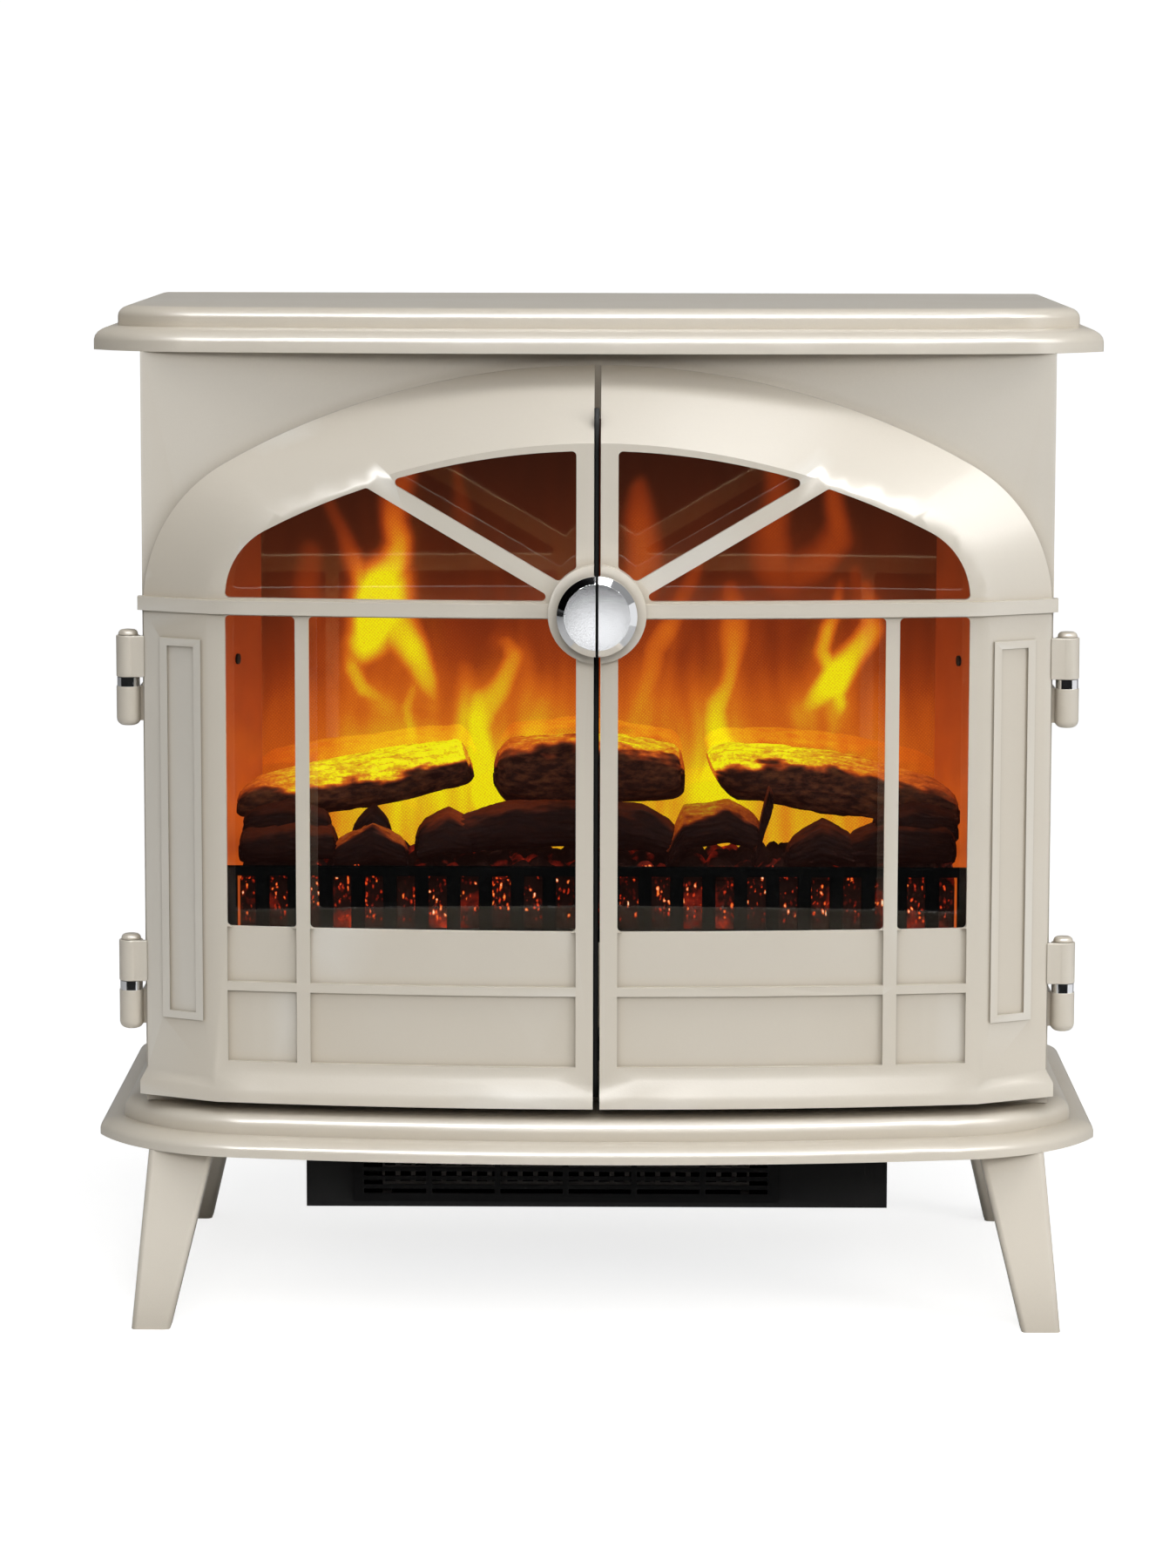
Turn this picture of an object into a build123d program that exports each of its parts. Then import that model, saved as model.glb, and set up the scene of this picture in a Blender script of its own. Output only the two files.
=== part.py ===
from build123d import *
import os
from math import asin, atan2, cos, degrees, pi, sin, sqrt

# Free-standing electric stove heater with a pair of arched doors.
# Millimetres. +Z is up, the doors face -Y, +X is to the right of a person facing the doors.
# The origin is on the floor, in the middle of the whole stove's width and depth.

# ---------------------------------------------------------------- driving dimensions

# overall
OVERALL_WIDTH = 667.0        # across the top plate and the base
OVERALL_HEIGHT = 670.0       # floor to the top of the top plate
OVERALL_DEPTH = 385.0        # front of the door knob to the back of the top plate

# casing
BODY_INSET = 33.5            # side of the casing, in from the ends of the top plate
SHEET = 1.5                  # side panels, fascia, rear cover
TOP_REAR_OVERHANG = 6.5      # top plate's back edge, behind the rear cover
FIT = 0.5                    # gap left between sheet parts that only sit beside each other

# top plate, two tiers
TOP_THICK = 29.0
TOP_FRONT_OVERHANG = 25.0    # top plate's front middle, ahead of the fascia
TOP_TIER = 15.5              # height of the lower tier
TOP_INSET = 15.5             # step in from the lower tier to the upper tier
TOP_BOW_R = 2200.0
TOP_BOW_INSET = 63.5         # where the front bow ends, in from the end of the plate
TOP_CORNER_R = 90.0
TOP_TIP_R = 8.0
TOP_ROLL = (9.0, 14.0)       # rolled edge of the lower tier, down and in
TOP_ROLL_2 = (7.0, 9.0)      # rolled edge of the upper tier

# base, two tiers
BASE_UNDER_Z = 116.0         # height of the base's underside
BASE_THICK = 27.0
BASE_FRONT_OVERHANG = 79.0
BASE_TIER = 12.0
BASE_INSET = 16.0
BASE_BOW_R = 1400.0
BASE_BOW_INSET = 95.5
BASE_CORNER_R = 126.0
BASE_TIP_R = 12.0
BASE_ROLL = (7.5, 14.0)
BASE_ROLL_2 = (9.5, 11.0)
SKIN = 3.0                   # wall of the hollow top plate and base
ROLL_STEPS = 5               # flats that make up a rolled edge

# legs
LEG_TOP = (43.0, 34.0)       # width, depth where the leg meets the base
LEG_FOOT = (25.5, 24.0)
LEG_INSET = (59.0, 39.8)     # middle of a leg's top and foot, in from the end of the base
LEG_FRONT = (18.0, 46.0)     # middle of a front leg's top and foot, ahead of the fascia
LEG_REAR = (36.0, 7.0)       # middle of a rear leg's top and foot, ahead of the rear cover
LEG_STUD_R = 4.0

# doors
DOOR_INSET = 1.5             # door's edge, in from the side of the casing
DOOR_GAP = 4.4               # between the two doors
DOOR_BOTTOM_Z = 149.0
DOOR_TOP_GAP = 8.0           # top of the arch to the underside of the top plate
DOOR_RISE = 157.0            # height of the arch above where it starts
DOOR_HAUNCH_R = 106.0
DOOR_RIM = 5.0               # straight edge of the door before it slopes forward
DOOR_CLEAR = 1.5             # closed door to fascia
DOOR_PROUD = 47.5            # how far the middle of the door stands ahead of its edge
DOOR_BOW_R = 1420.0
DOOR_SIDE_SLOPE = 85.0       # width over which the sides slope forward
DOOR_TOP_SLOPE = 48.0        # height over which the arch slopes forward
DOOR_FRONT_HAUNCH_R = 60.0
DOOR_WALL = 6.0
DOOR_FLANGE = 4.0

# windows
WINDOW_INSET = 55.5          # window's edge, in from the door's edge
WINDOW_SILL_Z = 265.5
WINDOW_RISE = 97.6
WINDOW_HAUNCH_R = 50.0
STILE = 11.4                 # bar beside the door gap
TRANSOM_WIDTH = 11.5         # bar across the doors
TRANSOM_DROP = 5.0           # its low edge, under the start of the arch
MULLION_WIDTH = 9.0          # upright bar
MULLION_INSET = 46.0         # its far edge, in from the window's edge
SPOKE_WIDTH = 11.0
SPOKE_START = (29.0, 15.0)   # a point on the spoke: from the middle, and above the start of the arch
SPOKE_END = (93.0, 86.0)     # another: in from the window's edge, and above the start of the arch
HUB_DROP = 1.3               # middle of the hub, under the start of the arch
HUB_R = 32.0
HUB_PROUD = 6.0
PANE_CORNER_R = 3.0
BAND_PROUD = 4.0             # moulding that follows the transom round the doors
BAND_WIDTH = 9.0
BAND_DROP = 4.0              # its low edge, under the start of the arch

# lower door panel and mouldings
PANEL_FOOT_Z = 176.0
PANEL_DEEP = 3.0
PANEL_BEAD = (223.0, 229.0)
NOSE_TOP_Z = 167.0
NOSE_PROUD = 5.0
PILASTER_WIDTH = 28.0        # raised frame on the door's side
PILASTER_INSET = 11.0        # its far edge, in from the door's edge
PILASTER_FOOT_Z = 202.0
PILASTER_DROP = 21.5         # its top, under the start of the arch
PILASTER_BEAD = 5.0
PILASTER_PROUD = 2.0

# knob, in two halves
KNOB_R = 26.0
KNOB_FACE_R = 21.5
KNOB_GAP = 1.8
KNOB_NECK_R = 19.0
KNOB_NECK = 6.0
KNOB_THICK = 14.5

# door hinges
HINGE_OUT = 9.5              # middle of the pin, outside the casing
HINGE_BARREL_R = 8.0
HINGE_PIN_R = 3.0
HINGE_LOW_Z = 192.0          # foot of the lower hinge
HINGE_DROP = 81.0            # foot of the upper hinge, under the start of the arch
HINGE_BODY_LEN = 26.0
HINGE_WASHER = 6.0
HINGE_DOOR_LEN = 27.4
HINGE_LEAF = 4.5
HINGE_PLATE = 24.0           # length of the leaf on the side panel
END_CLEAR = 0.3              # between the door's barrel and the washer
RUNNING = 0.05               # radial clearance of a turning pin or shaft

# fire
SHELF_Z = 232.0
GLASS = 4.0
GLASS_LAP = 10.0             # glass beyond the side of the opening
GLASS_FOOT_Z = 242.0
GLASS_DROP = 31.0            # top of the glass, under the top plate
OPENING_OUT = 19.0           # side of the fascia's opening, outside the window's edge
OPENING_FOOT_Z = 250.0
OPENING_RISE = 122.0
OPENING_HAUNCH_R = 70.0
FIREBOX_DROP = 29.0          # firebox ceiling, under the top plate
FIREBOX_OUT = 4.0            # front edge of a firebox wall, outside the fascia's opening
FIREBOX_TAPER = 35.0         # how far a wall leans in from front to back
SCREEN_BACK = 132.0          # front face of the flame screen, behind the fascia
SCREEN = 3.0
GRATE_BACK = 20.0            # front of the fender, behind the fascia
GRATE = (8.0, 64.0)          # depth and height of the fender
GRATE_PITCH = 21.3
GRATE_BAR = 9.0
ROTOR_BACK = 35.0            # rotor shaft, behind the flame screen's front
ROTOR_Z = 275.0
ROTOR_SHAFT_R = 3.0
ROTOR_FLAP = 20.0
ROTOR_SHORT = 16.0           # end of the flaps, in from the end of the flame screen's view
MOTOR_R = 20.0
MOTOR_LEN = 24.0

# heater under the base
HEATER_HALF = 197.0
HEATER_Z = 60.0              # underside of the heater case
HEATER_BACK = 50.0           # front of the heater case, behind the fascia
HEATER_DEEP = 157.0
HEATER_WALL = 1.5
GRILLE_X = (-160.0, 118.0)
GRILLE_SLOT = 3.2            # height of a slot in the outlet grille
GRILLE_PITCH = 6.0
BLOWER_R = 20.0
BLOWER_HALF = 125.0
BLOWER_BACK = 84.0           # blower shaft, behind the front of the heater case

# control panel behind the doors
CONTROL_X = (58.0, 232.0)
CONTROL_Z = (166.0, 228.0)
CONTROL_THICK = 3.0
ROCKER = (15.0, 24.0)        # width and height of a rocker
ROCKER_PITCH = 26.0
ROCKER_TRAVEL = 7.0          # degrees each way
DIAL_R = 17.0
DIAL_DEPTH = 13.0
SPINDLE_R = 3.0

# screws
SCREW_R = 1.75
SCREW_HEAD = (3.5, 2.2)      # radius and height

# ---------------------------------------------------------------- places worked out

FAR = OVERALL_WIDTH + OVERALL_HEIGHT     # further out than anything in the stove
OVERALL_HALF = OVERALL_WIDTH / 2
TOP_BOW_HALF = OVERALL_HALF - TOP_BOW_INSET
BASE_BOW_HALF = OVERALL_HALF - BASE_BOW_INSET
LEG_TOP_X = OVERALL_HALF - LEG_INSET[0]
LEG_FOOT_X = OVERALL_HALF - LEG_INSET[1]
TOP_BACK_Y = OVERALL_DEPTH / 2
REAR_Y = TOP_BACK_Y - TOP_REAR_OVERHANG
KNOB_FRONT_Y = -OVERALL_DEPTH / 2
HUB_FRONT_Y = KNOB_FRONT_Y + KNOB_THICK + KNOB_NECK
DOOR_FRONT_Y = HUB_FRONT_Y + HUB_PROUD
DOOR_EDGE_Y = DOOR_FRONT_Y + DOOR_PROUD
DOOR_EDGE_BACK_Y = DOOR_EDGE_Y + DOOR_RIM
FASCIA_Y = DOOR_EDGE_BACK_Y + DOOR_CLEAR     # front face of the fascia
LEG_FRONT_Y = (FASCIA_Y - LEG_FRONT[0], FASCIA_Y - LEG_FRONT[1])
LEG_REAR_Y = (REAR_Y - LEG_REAR[0], REAR_Y - LEG_REAR[1])
TOP_UNDER_Z = OVERALL_HEIGHT - TOP_THICK
TOP_FRONT_Y = FASCIA_Y - TOP_FRONT_OVERHANG
BASE_TOP_Z = BASE_UNDER_Z + BASE_THICK
BASE_FRONT_Y = FASCIA_Y - BASE_FRONT_OVERHANG
BODY_HALF = OVERALL_HALF - BODY_INSET
INNER_HALF = BODY_HALF - SHEET
FASCIA_BACK_Y = FASCIA_Y + SHEET
REAR_INNER_Y = REAR_Y - SHEET
HALF_GAP = DOOR_GAP / 2
DOOR_HALF = BODY_HALF - DOOR_INSET
DOOR_SPRING_Z = TOP_UNDER_Z - DOOR_TOP_GAP - DOOR_RISE   # where the arch starts
WINDOW_HALF = DOOR_HALF - WINDOW_INSET
TRANSOM = (DOOR_SPRING_Z - TRANSOM_DROP, DOOR_SPRING_Z - TRANSOM_DROP + TRANSOM_WIDTH)
MULLION = (WINDOW_HALF - MULLION_INSET - MULLION_WIDTH, WINDOW_HALF - MULLION_INSET)
HUB_Z = DOOR_SPRING_Z - HUB_DROP
BAND = (DOOR_SPRING_Z - BAND_DROP, DOOR_SPRING_Z - BAND_DROP + BAND_WIDTH)
PILASTER = (DOOR_HALF - PILASTER_INSET - PILASTER_WIDTH, DOOR_HALF - PILASTER_INSET)
PILASTER_Z = (PILASTER_FOOT_Z, DOOR_SPRING_Z - PILASTER_DROP)
HINGE_X = BODY_HALF + HINGE_OUT
HINGE_Z = (HINGE_LOW_Z, DOOR_SPRING_Z - HINGE_DROP)
OPENING_HALF = WINDOW_HALF + OPENING_OUT
GLASS_HALF = OPENING_HALF + GLASS_LAP
GLASS_Z = (GLASS_FOOT_Z, TOP_UNDER_Z - GLASS_DROP)
FIREBOX_TOP_Z = TOP_UNDER_Z - FIREBOX_DROP
FIREBOX_FRONT_HALF = OPENING_HALF + FIREBOX_OUT
FIREBOX_BACK_HALF = FIREBOX_FRONT_HALF - FIREBOX_TAPER
SCREEN_Y = FASCIA_Y + SCREEN_BACK
GRATE_Y = FASCIA_Y + GRATE_BACK
ROTOR_Y = SCREEN_Y + ROTOR_BACK
ROTOR_HALF = FIREBOX_BACK_HALF - ROTOR_SHORT
HEATER_Y = (FASCIA_Y + HEATER_BACK, FASCIA_Y + HEATER_BACK + HEATER_DEEP)
BLOWER_Y = HEATER_Y[0] + BLOWER_BACK
FLOOR_Z = SHELF_Z + SHEET
GLASS_FRONT_Y = FASCIA_BACK_Y + FIT
GLASS_BACK_Y = GLASS_FRONT_Y + GLASS
FIREBOX_FRONT_Y = GLASS_BACK_Y + FIT


# ---------------------------------------------------------------- shared shapes

def block(x, y, z):
    """A box between two limits on each axis."""
    size = (x[1] - x[0], y[1] - y[0], z[1] - z[0])
    return Pos((x[0] + x[1]) / 2, (y[0] + y[1]) / 2, (z[0] + z[1]) / 2) * Box(*size)


def rod_x(radius, x, y, z):
    """A cylinder along X between two limits."""
    return Pos((x[0] + x[1]) / 2, y, z) * Rot(0, 90, 0) * Cylinder(radius, x[1] - x[0])


def rod_y(radius, x, y, z):
    """A cylinder along Y between two limits."""
    return Pos(x, (y[0] + y[1]) / 2, z) * Rot(90, 0, 0) * Cylinder(radius, y[1] - y[0])


def rod_z(radius, x, y, z):
    """An upright cylinder between two limits."""
    return Pos(x, y, (z[0] + z[1]) / 2) * Cylinder(radius, z[1] - z[0])


def mirrored(shape):
    return mirror(shape, about=Plane.YZ)


def closed_face(edges):
    return Face(Wire(edges))


def arch_edges(y, half, foot_z, spring_z, rise, haunch_r):
    """Edges of an upright opening with a three-centred arch, in the plane at y."""
    crown_r = (half ** 2 + rise ** 2 - 2 * half * haunch_r) / (2 * (rise - haunch_r))
    turn = asin((half - haunch_r) / (crown_r - haunch_r))
    haunch_x = half - haunch_r
    meet = (haunch_x + haunch_r * sin(turn), spring_z + haunch_r * cos(turn))
    mid = (haunch_x + haunch_r * sin((turn + pi / 2) / 2), spring_z + haunch_r * cos((turn + pi / 2) / 2))
    top_z = spring_z + rise
    return [
        Line((-half, y, foot_z), (half, y, foot_z)),
        Line((half, y, foot_z), (half, y, spring_z)),
        ThreePointArc((half, y, spring_z), (mid[0], y, mid[1]), (meet[0], y, meet[1])),
        ThreePointArc((meet[0], y, meet[1]), (0, y, top_z), (-meet[0], y, meet[1])),
        ThreePointArc((-meet[0], y, meet[1]), (-mid[0], y, mid[1]), (-half, y, spring_z)),
        Line((-half, y, spring_z), (-half, y, foot_z)),
    ]


def bowed_outline(inset, half, front_y, back_y, bow_r, bow_half, corner_r, tip_r, z):
    """Plan of a plate whose front bows forward and turns back at the corners."""
    half -= inset
    front_y += inset
    bow_r -= inset
    corner_r -= inset
    start = asin(bow_half / (bow_r + inset))
    arc_x = bow_r * sin(start)
    arc_y = front_y + bow_r * (1 - cos(start))
    centre_x = arc_x - corner_r * sin(start)
    centre_y = arc_y + corner_r * cos(start)
    finish = asin((half - centre_x) / corner_r)
    middle = (start + finish) / 2
    tip_y = centre_y - corner_r * cos(finish)
    mid = (centre_x + corner_r * sin(middle), centre_y - corner_r * cos(middle))
    edges = [
        ThreePointArc((-arc_x, arc_y, z), (0, front_y, z), (arc_x, arc_y, z)),
        ThreePointArc((arc_x, arc_y, z), (mid[0], mid[1], z), (half, tip_y, z)),
        Line((half, tip_y, z), (half, back_y, z)),
        Line((half, back_y, z), (-half, back_y, z)),
        Line((-half, back_y, z), (-half, tip_y, z)),
        ThreePointArc((-half, tip_y, z), (-mid[0], mid[1], z), (-arc_x, arc_y, z)),
    ]
    plate = closed_face(edges)
    tips = [v for v in plate.vertices() if abs(v.Y - tip_y) < 0.01]
    return fillet(tips, tip_r)


def top_plan(inset, z):
    return bowed_outline(inset, OVERALL_WIDTH / 2, TOP_FRONT_Y, TOP_BACK_Y, TOP_BOW_R, TOP_BOW_HALF,
                         TOP_CORNER_R, TOP_TIP_R, z)


def base_plan(inset, z):
    return bowed_outline(inset, OVERALL_WIDTH / 2, BASE_FRONT_Y, REAR_Y, BASE_BOW_R, BASE_BOW_HALF,
                         BASE_CORNER_R, BASE_TIP_R, z)


def rolled_tier(plan, inset, foot_z, top_z, roll):
    """One tier of a plate: an upright edge, then a quarter-round that rolls in to the flat."""
    drop, run = roll
    upright = extrude(plan(inset, foot_z), amount=top_z - drop - foot_z, dir=(0, 0, 1))
    sections = []
    for step in range(ROLL_STEPS + 1):
        turn = step / ROLL_STEPS * pi / 2
        face = plan(inset + run * (1 - cos(turn)), top_z - drop + drop * sin(turn))
        sections.append(face.faces()[0].outer_wire())
    return upright + Solid.make_loft(sections, ruled=True)


parts = {}

# ---------------------------------------------------------------- top plate and base

top_shell = rolled_tier(top_plan, 0, TOP_UNDER_Z, TOP_UNDER_Z + TOP_TIER, TOP_ROLL)
top_shell += rolled_tier(top_plan, TOP_INSET, TOP_UNDER_Z, OVERALL_HEIGHT, TOP_ROLL_2)
top_steps = [
    (SKIN, TOP_TIER - TOP_ROLL[0] - 1),
    (TOP_INSET + SKIN, TOP_THICK - TOP_ROLL_2[0] - SKIN),
    (TOP_INSET + TOP_ROLL_2[1] + SKIN, TOP_THICK - SKIN),
]
for step_in, step_up in top_steps:
    hollow = extrude(top_plan(step_in, TOP_UNDER_Z), amount=step_up, dir=(0, 0, 1))
    top_shell -= hollow & block((-FAR, FAR), (-FAR, TOP_BACK_Y - SKIN), (0, FAR))
parts["top_plate"] = top_shell

liner_in = SKIN + FIT
top_liner = extrude(top_plan(liner_in, TOP_UNDER_Z), amount=SHEET, dir=(0, 0, 1))
parts["top_liner"] = top_liner & block((-FAR, FAR), (-FAR, TOP_BACK_Y - liner_in), (0, FAR))

base_shell = rolled_tier(base_plan, 0, BASE_UNDER_Z, BASE_UNDER_Z + BASE_TIER, BASE_ROLL)
base_shell += rolled_tier(base_plan, BASE_INSET, BASE_UNDER_Z, BASE_TOP_Z, BASE_ROLL_2)
base_steps = [
    (SKIN, BASE_TIER - BASE_ROLL[0] - 0.5),
    (BASE_INSET + SKIN, BASE_THICK - BASE_ROLL_2[0] - SKIN),
    (BASE_INSET + BASE_ROLL_2[1] + SKIN, BASE_THICK - SKIN),
]
for step_in, step_up in base_steps:
    hollow = extrude(base_plan(step_in, BASE_UNDER_Z), amount=step_up, dir=(0, 0, 1))
    base_shell -= hollow & block((-FAR, FAR), (-FAR, REAR_Y - SKIN), (0, FAR))
AIR_WAY_HALF = 150.0
AIR_WAY_IN = (30.0, 10.0)    # front and back edge, in from the heater case's ends
air_way_y = (HEATER_Y[0] + AIR_WAY_IN[0], HEATER_Y[1] - AIR_WAY_IN[1])
air_way = block((-AIR_WAY_HALF, AIR_WAY_HALF), air_way_y, (0, FAR))
parts["base_plate"] = base_shell - air_way

# the pan that closes the base is two sheets, which meet along the front of the air way
pan_in = SKIN + FIT
base_pan = extrude(base_plan(pan_in, BASE_UNDER_Z), amount=SHEET, dir=(0, 0, 1)) - air_way
PAN_LIMITS = {
    "front_base_pan": (-FAR, air_way_y[0]),
    "rear_base_pan": (air_way_y[0], REAR_Y - pan_in),
}

# ---------------------------------------------------------------- legs

NUT_HIGH = 5.0
NUT_ACROSS = 13.0
STUD_Z = BASE_UNDER_Z + SHEET + NUT_HIGH + 0.5
NUT_CLEAR = 4.0              # room round a nut inside the base
STUD_CLEAR = 1.0             # room over a stud inside the base


def leg(side, y_top, y_foot):
    """A splayed, tapered foot with a stud cast into its top."""
    def section(x, y, z, size):
        return Plane((side * x, y, z)) * RectangleRounded(size[0], size[1], 4)
    top = section(LEG_TOP_X, y_top, BASE_UNDER_Z, LEG_TOP)
    foot = section(LEG_FOOT_X, y_foot, 0, LEG_FOOT)
    body = Solid.make_loft([foot.faces()[0].outer_wire(), top.faces()[0].outer_wire()], ruled=True)
    return body + rod_z(LEG_STUD_R, side * LEG_TOP_X, y_top, (BASE_UNDER_Z - 20, STUD_Z))


leg_nuts = []
for side, hand in ((-1, "left"), (1, "right")):
    for (y_top, y_foot), end in ((LEG_FRONT_Y, "front"), (LEG_REAR_Y, "rear")):
        parts[f"{end}_{hand}_leg"] = leg(side, y_top, y_foot)
        x = side * LEG_TOP_X
        base_pan -= rod_z(LEG_STUD_R + RUNNING, x, y_top, (0, FAR))
        nut_foot = BASE_UNDER_Z + SHEET
        nut = extrude(Plane((x, y_top, nut_foot)) * RegularPolygon(NUT_ACROSS / 2, 6, major_radius=False),
                      amount=NUT_HIGH)
        leg_nuts.append(nut - rod_z(LEG_STUD_R, x, y_top, (0, FAR)))
        parts["base_plate"] -= rod_z(NUT_ACROSS / 2 + NUT_CLEAR, x, y_top, (BASE_UNDER_Z, STUD_Z + STUD_CLEAR))
for name, pan_y in PAN_LIMITS.items():
    parts[name] = base_pan & block((-FAR, FAR), pan_y, (0, FAR))
parts["leg_nuts"] = Compound(leg_nuts)

# ---------------------------------------------------------------- casing

side_panel = block((INNER_HALF, BODY_HALF), (FASCIA_Y, REAR_Y), (BASE_TOP_Z, TOP_UNDER_Z))

opening = closed_face(arch_edges(FASCIA_BACK_Y, OPENING_HALF, OPENING_FOOT_Z, DOOR_SPRING_Z,
                                 OPENING_RISE, OPENING_HAUNCH_R))
fascia = block((-INNER_HALF, INNER_HALF), (FASCIA_Y, FASCIA_BACK_Y), (BASE_TOP_Z, TOP_UNDER_Z))
fascia -= extrude(opening, amount=SHEET, dir=(0, -1, 0))
fascia -= block(CONTROL_X, (FASCIA_Y, FASCIA_BACK_Y), CONTROL_Z)

rear_cover = block((-INNER_HALF, INNER_HALF), (REAR_INNER_Y, REAR_Y), (BASE_TOP_Z, TOP_UNDER_Z))
VENT = (70.0, 4.0)           # width and height of a vent slot
VENT_PITCH = (90.0, 12.0)
VENT_EDGE = (27.0, 81.0)     # lowest slots above the base, top group's lowest slot under the top plate
for row_z in (BASE_TOP_Z + VENT_EDGE[0], TOP_UNDER_Z - VENT_EDGE[1]):
    for column in range(-2, 3):
        for row in range(4):
            x = column * VENT_PITCH[0]
            z = row_z + row * VENT_PITCH[1]
            rear_cover -= block((x - VENT[0] / 2, x + VENT[0] / 2), (REAR_INNER_Y, REAR_Y),
                                (z, z + VENT[1]))

# ---------------------------------------------------------------- doors

SKIRT_Z = DOOR_BOTTOM_Z - 50             # foot of the door's blank, trimmed off below
SLOPE_MEETS_BOW = 0.56       # share of the side slope where it meets the bowed front
door_outer = closed_face(arch_edges(DOOR_EDGE_Y, DOOR_HALF, SKIRT_Z, DOOR_SPRING_Z, DOOR_RISE,
                                    DOOR_HAUNCH_R))
door_inner = closed_face(arch_edges(DOOR_FRONT_Y, DOOR_HALF - DOOR_SIDE_SLOPE, SKIRT_Z, DOOR_SPRING_Z,
                                    DOOR_RISE - DOOR_TOP_SLOPE, DOOR_FRONT_HAUNCH_R))
door_swell = Solid.make_loft([door_outer.outer_wire(), door_inner.outer_wire()], ruled=True)
door_rim = extrude(door_outer, amount=DOOR_RIM, dir=(0, 1, 0))


def bow_drum(ahead):
    """The upright drum that the doors' front is part of, moved forward by ahead."""
    return rod_z(DOOR_BOW_R, 0, DOOR_FRONT_Y - ahead + DOOR_BOW_R, (0, FAR))


door_full = (door_rim + door_swell) & bow_drum(0)
door_full &= block((-FAR, FAR), (-FAR, 0), (DOOR_BOTTOM_Z, FAR))
door_skin = door_full - Pos(0, DOOR_WALL, 0) * door_full
door_skin += door_full & block((-FAR, FAR), (-FAR, 0), (DOOR_BOTTOM_Z, DOOR_BOTTOM_Z + DOOR_FLANGE))


def door_plan(proud, z):
    """Plan of the pair of doors below the arch, grown forward and outward by proud."""
    bow_meet_x = DOOR_HALF - DOOR_SIDE_SLOPE * SLOPE_MEETS_BOW
    bow_r = DOOR_BOW_R + proud
    bow_y = DOOR_FRONT_Y + DOOR_BOW_R - sqrt(bow_r ** 2 - bow_meet_x ** 2)
    half = DOOR_HALF + proud
    edge_y = DOOR_EDGE_Y - proud / 2
    edges = [
        ThreePointArc((-bow_meet_x, bow_y, z), (0, DOOR_FRONT_Y - proud, z), (bow_meet_x, bow_y, z)),
        Line((bow_meet_x, bow_y, z), (half, edge_y, z)),
        Line((half, edge_y, z), (half, DOOR_EDGE_BACK_Y, z)),
        Line((half, DOOR_EDGE_BACK_Y, z), (-half, DOOR_EDGE_BACK_Y, z)),
        Line((-half, DOOR_EDGE_BACK_Y, z), (-half, edge_y, z)),
        Line((-half, edge_y, z), (-bow_meet_x, bow_y, z)),
    ]
    return closed_face(edges)


# plinth nose along the foot of the doors: upright, then drawn in to the door's face
nose_shoulder_z = (DOOR_BOTTOM_Z + NOSE_TOP_Z) / 2
nose = extrude(door_plan(NOSE_PROUD, DOOR_BOTTOM_Z), amount=nose_shoulder_z - DOOR_BOTTOM_Z, dir=(0, 0, 1))
nose += Solid.make_loft([door_plan(NOSE_PROUD, nose_shoulder_z).outer_wire(),
                         door_plan(0, NOSE_TOP_Z).outer_wire()], ruled=True)
door_skin += nose - Pos(0, DOOR_WALL / 2, 0) * door_full

# moulding band that carries the transom round the sides
band = extrude(door_plan(BAND_PROUD, BAND[0]), amount=BAND[1] - BAND[0], dir=(0, 0, 1))
door_skin += band - Pos(0, DOOR_WALL / 2, 0) * door_full

# raised frame on each side
pilaster_bead = block(PILASTER, (-FAR, 0), PILASTER_Z)
pilaster_bead -= block((PILASTER[0] + PILASTER_BEAD, PILASTER[1] - PILASTER_BEAD), (-FAR, 0),
                       (PILASTER_Z[0] + PILASTER_BEAD, PILASTER_Z[1] - PILASTER_BEAD))
proud_face = Pos(0, -PILASTER_PROUD, 0) * door_full - Pos(0, DOOR_WALL / 2, 0) * door_full
for bead in (pilaster_bead, mirrored(pilaster_bead)):
    door_skin += bead & proud_face

# hub behind the knob
door_skin += rod_y(HUB_R, 0, (HUB_FRONT_Y, DOOR_FRONT_Y + DOOR_WALL), HUB_Z)

right_door = door_skin & block((HALF_GAP, FAR), (-FAR, 0), (0, FAR))

# window panes between the bars, cut through
stile_x = HALF_GAP + STILE


def pane(x, z):
    """A window pane with rounded corners, as a block through the door."""
    hole = block(x, (-FAR, 0), z)
    return fillet(hole.edges().filter_by(Axis.Y), PANE_CORNER_R)


lower_z = (WINDOW_SILL_Z, TRANSOM[0])
lower_panes = pane((stile_x, MULLION[0]), lower_z) + pane((MULLION[1], WINDOW_HALF), lower_z)
window_arch = closed_face(arch_edges(0, WINDOW_HALF, TRANSOM[0], TRANSOM[1], WINDOW_RISE,
                                     WINDOW_HAUNCH_R))
spoke_end_x = WINDOW_HALF - SPOKE_END[0]
spoke_angle = degrees(atan2(SPOKE_END[1] - SPOKE_START[1], spoke_end_x - SPOKE_START[0]))
spoke = Pos(SPOKE_START[0], 0, DOOR_SPRING_Z + SPOKE_START[1]) * Rot(0, -spoke_angle, 0)
spoke *= Box(FAR, 3 * FAR, SPOKE_WIDTH)
fan = extrude(window_arch, amount=FAR, dir=(0, -1, 0))
fan &= block((stile_x, FAR), (-FAR, 0), (TRANSOM[1], FAR))
fan -= spoke
fan -= rod_y(HUB_R, 0, (-FAR, 0), HUB_Z)


def rounded_pane(piece):
    """The same opening with its sharp corners rounded."""
    front = piece.faces().sort_by(Axis.Y)[0]
    shrunk = offset(front, -PANE_CORNER_R)
    return extrude(offset(shrunk, PANE_CORNER_R), amount=FAR, dir=(0, 1, 0))


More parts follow.
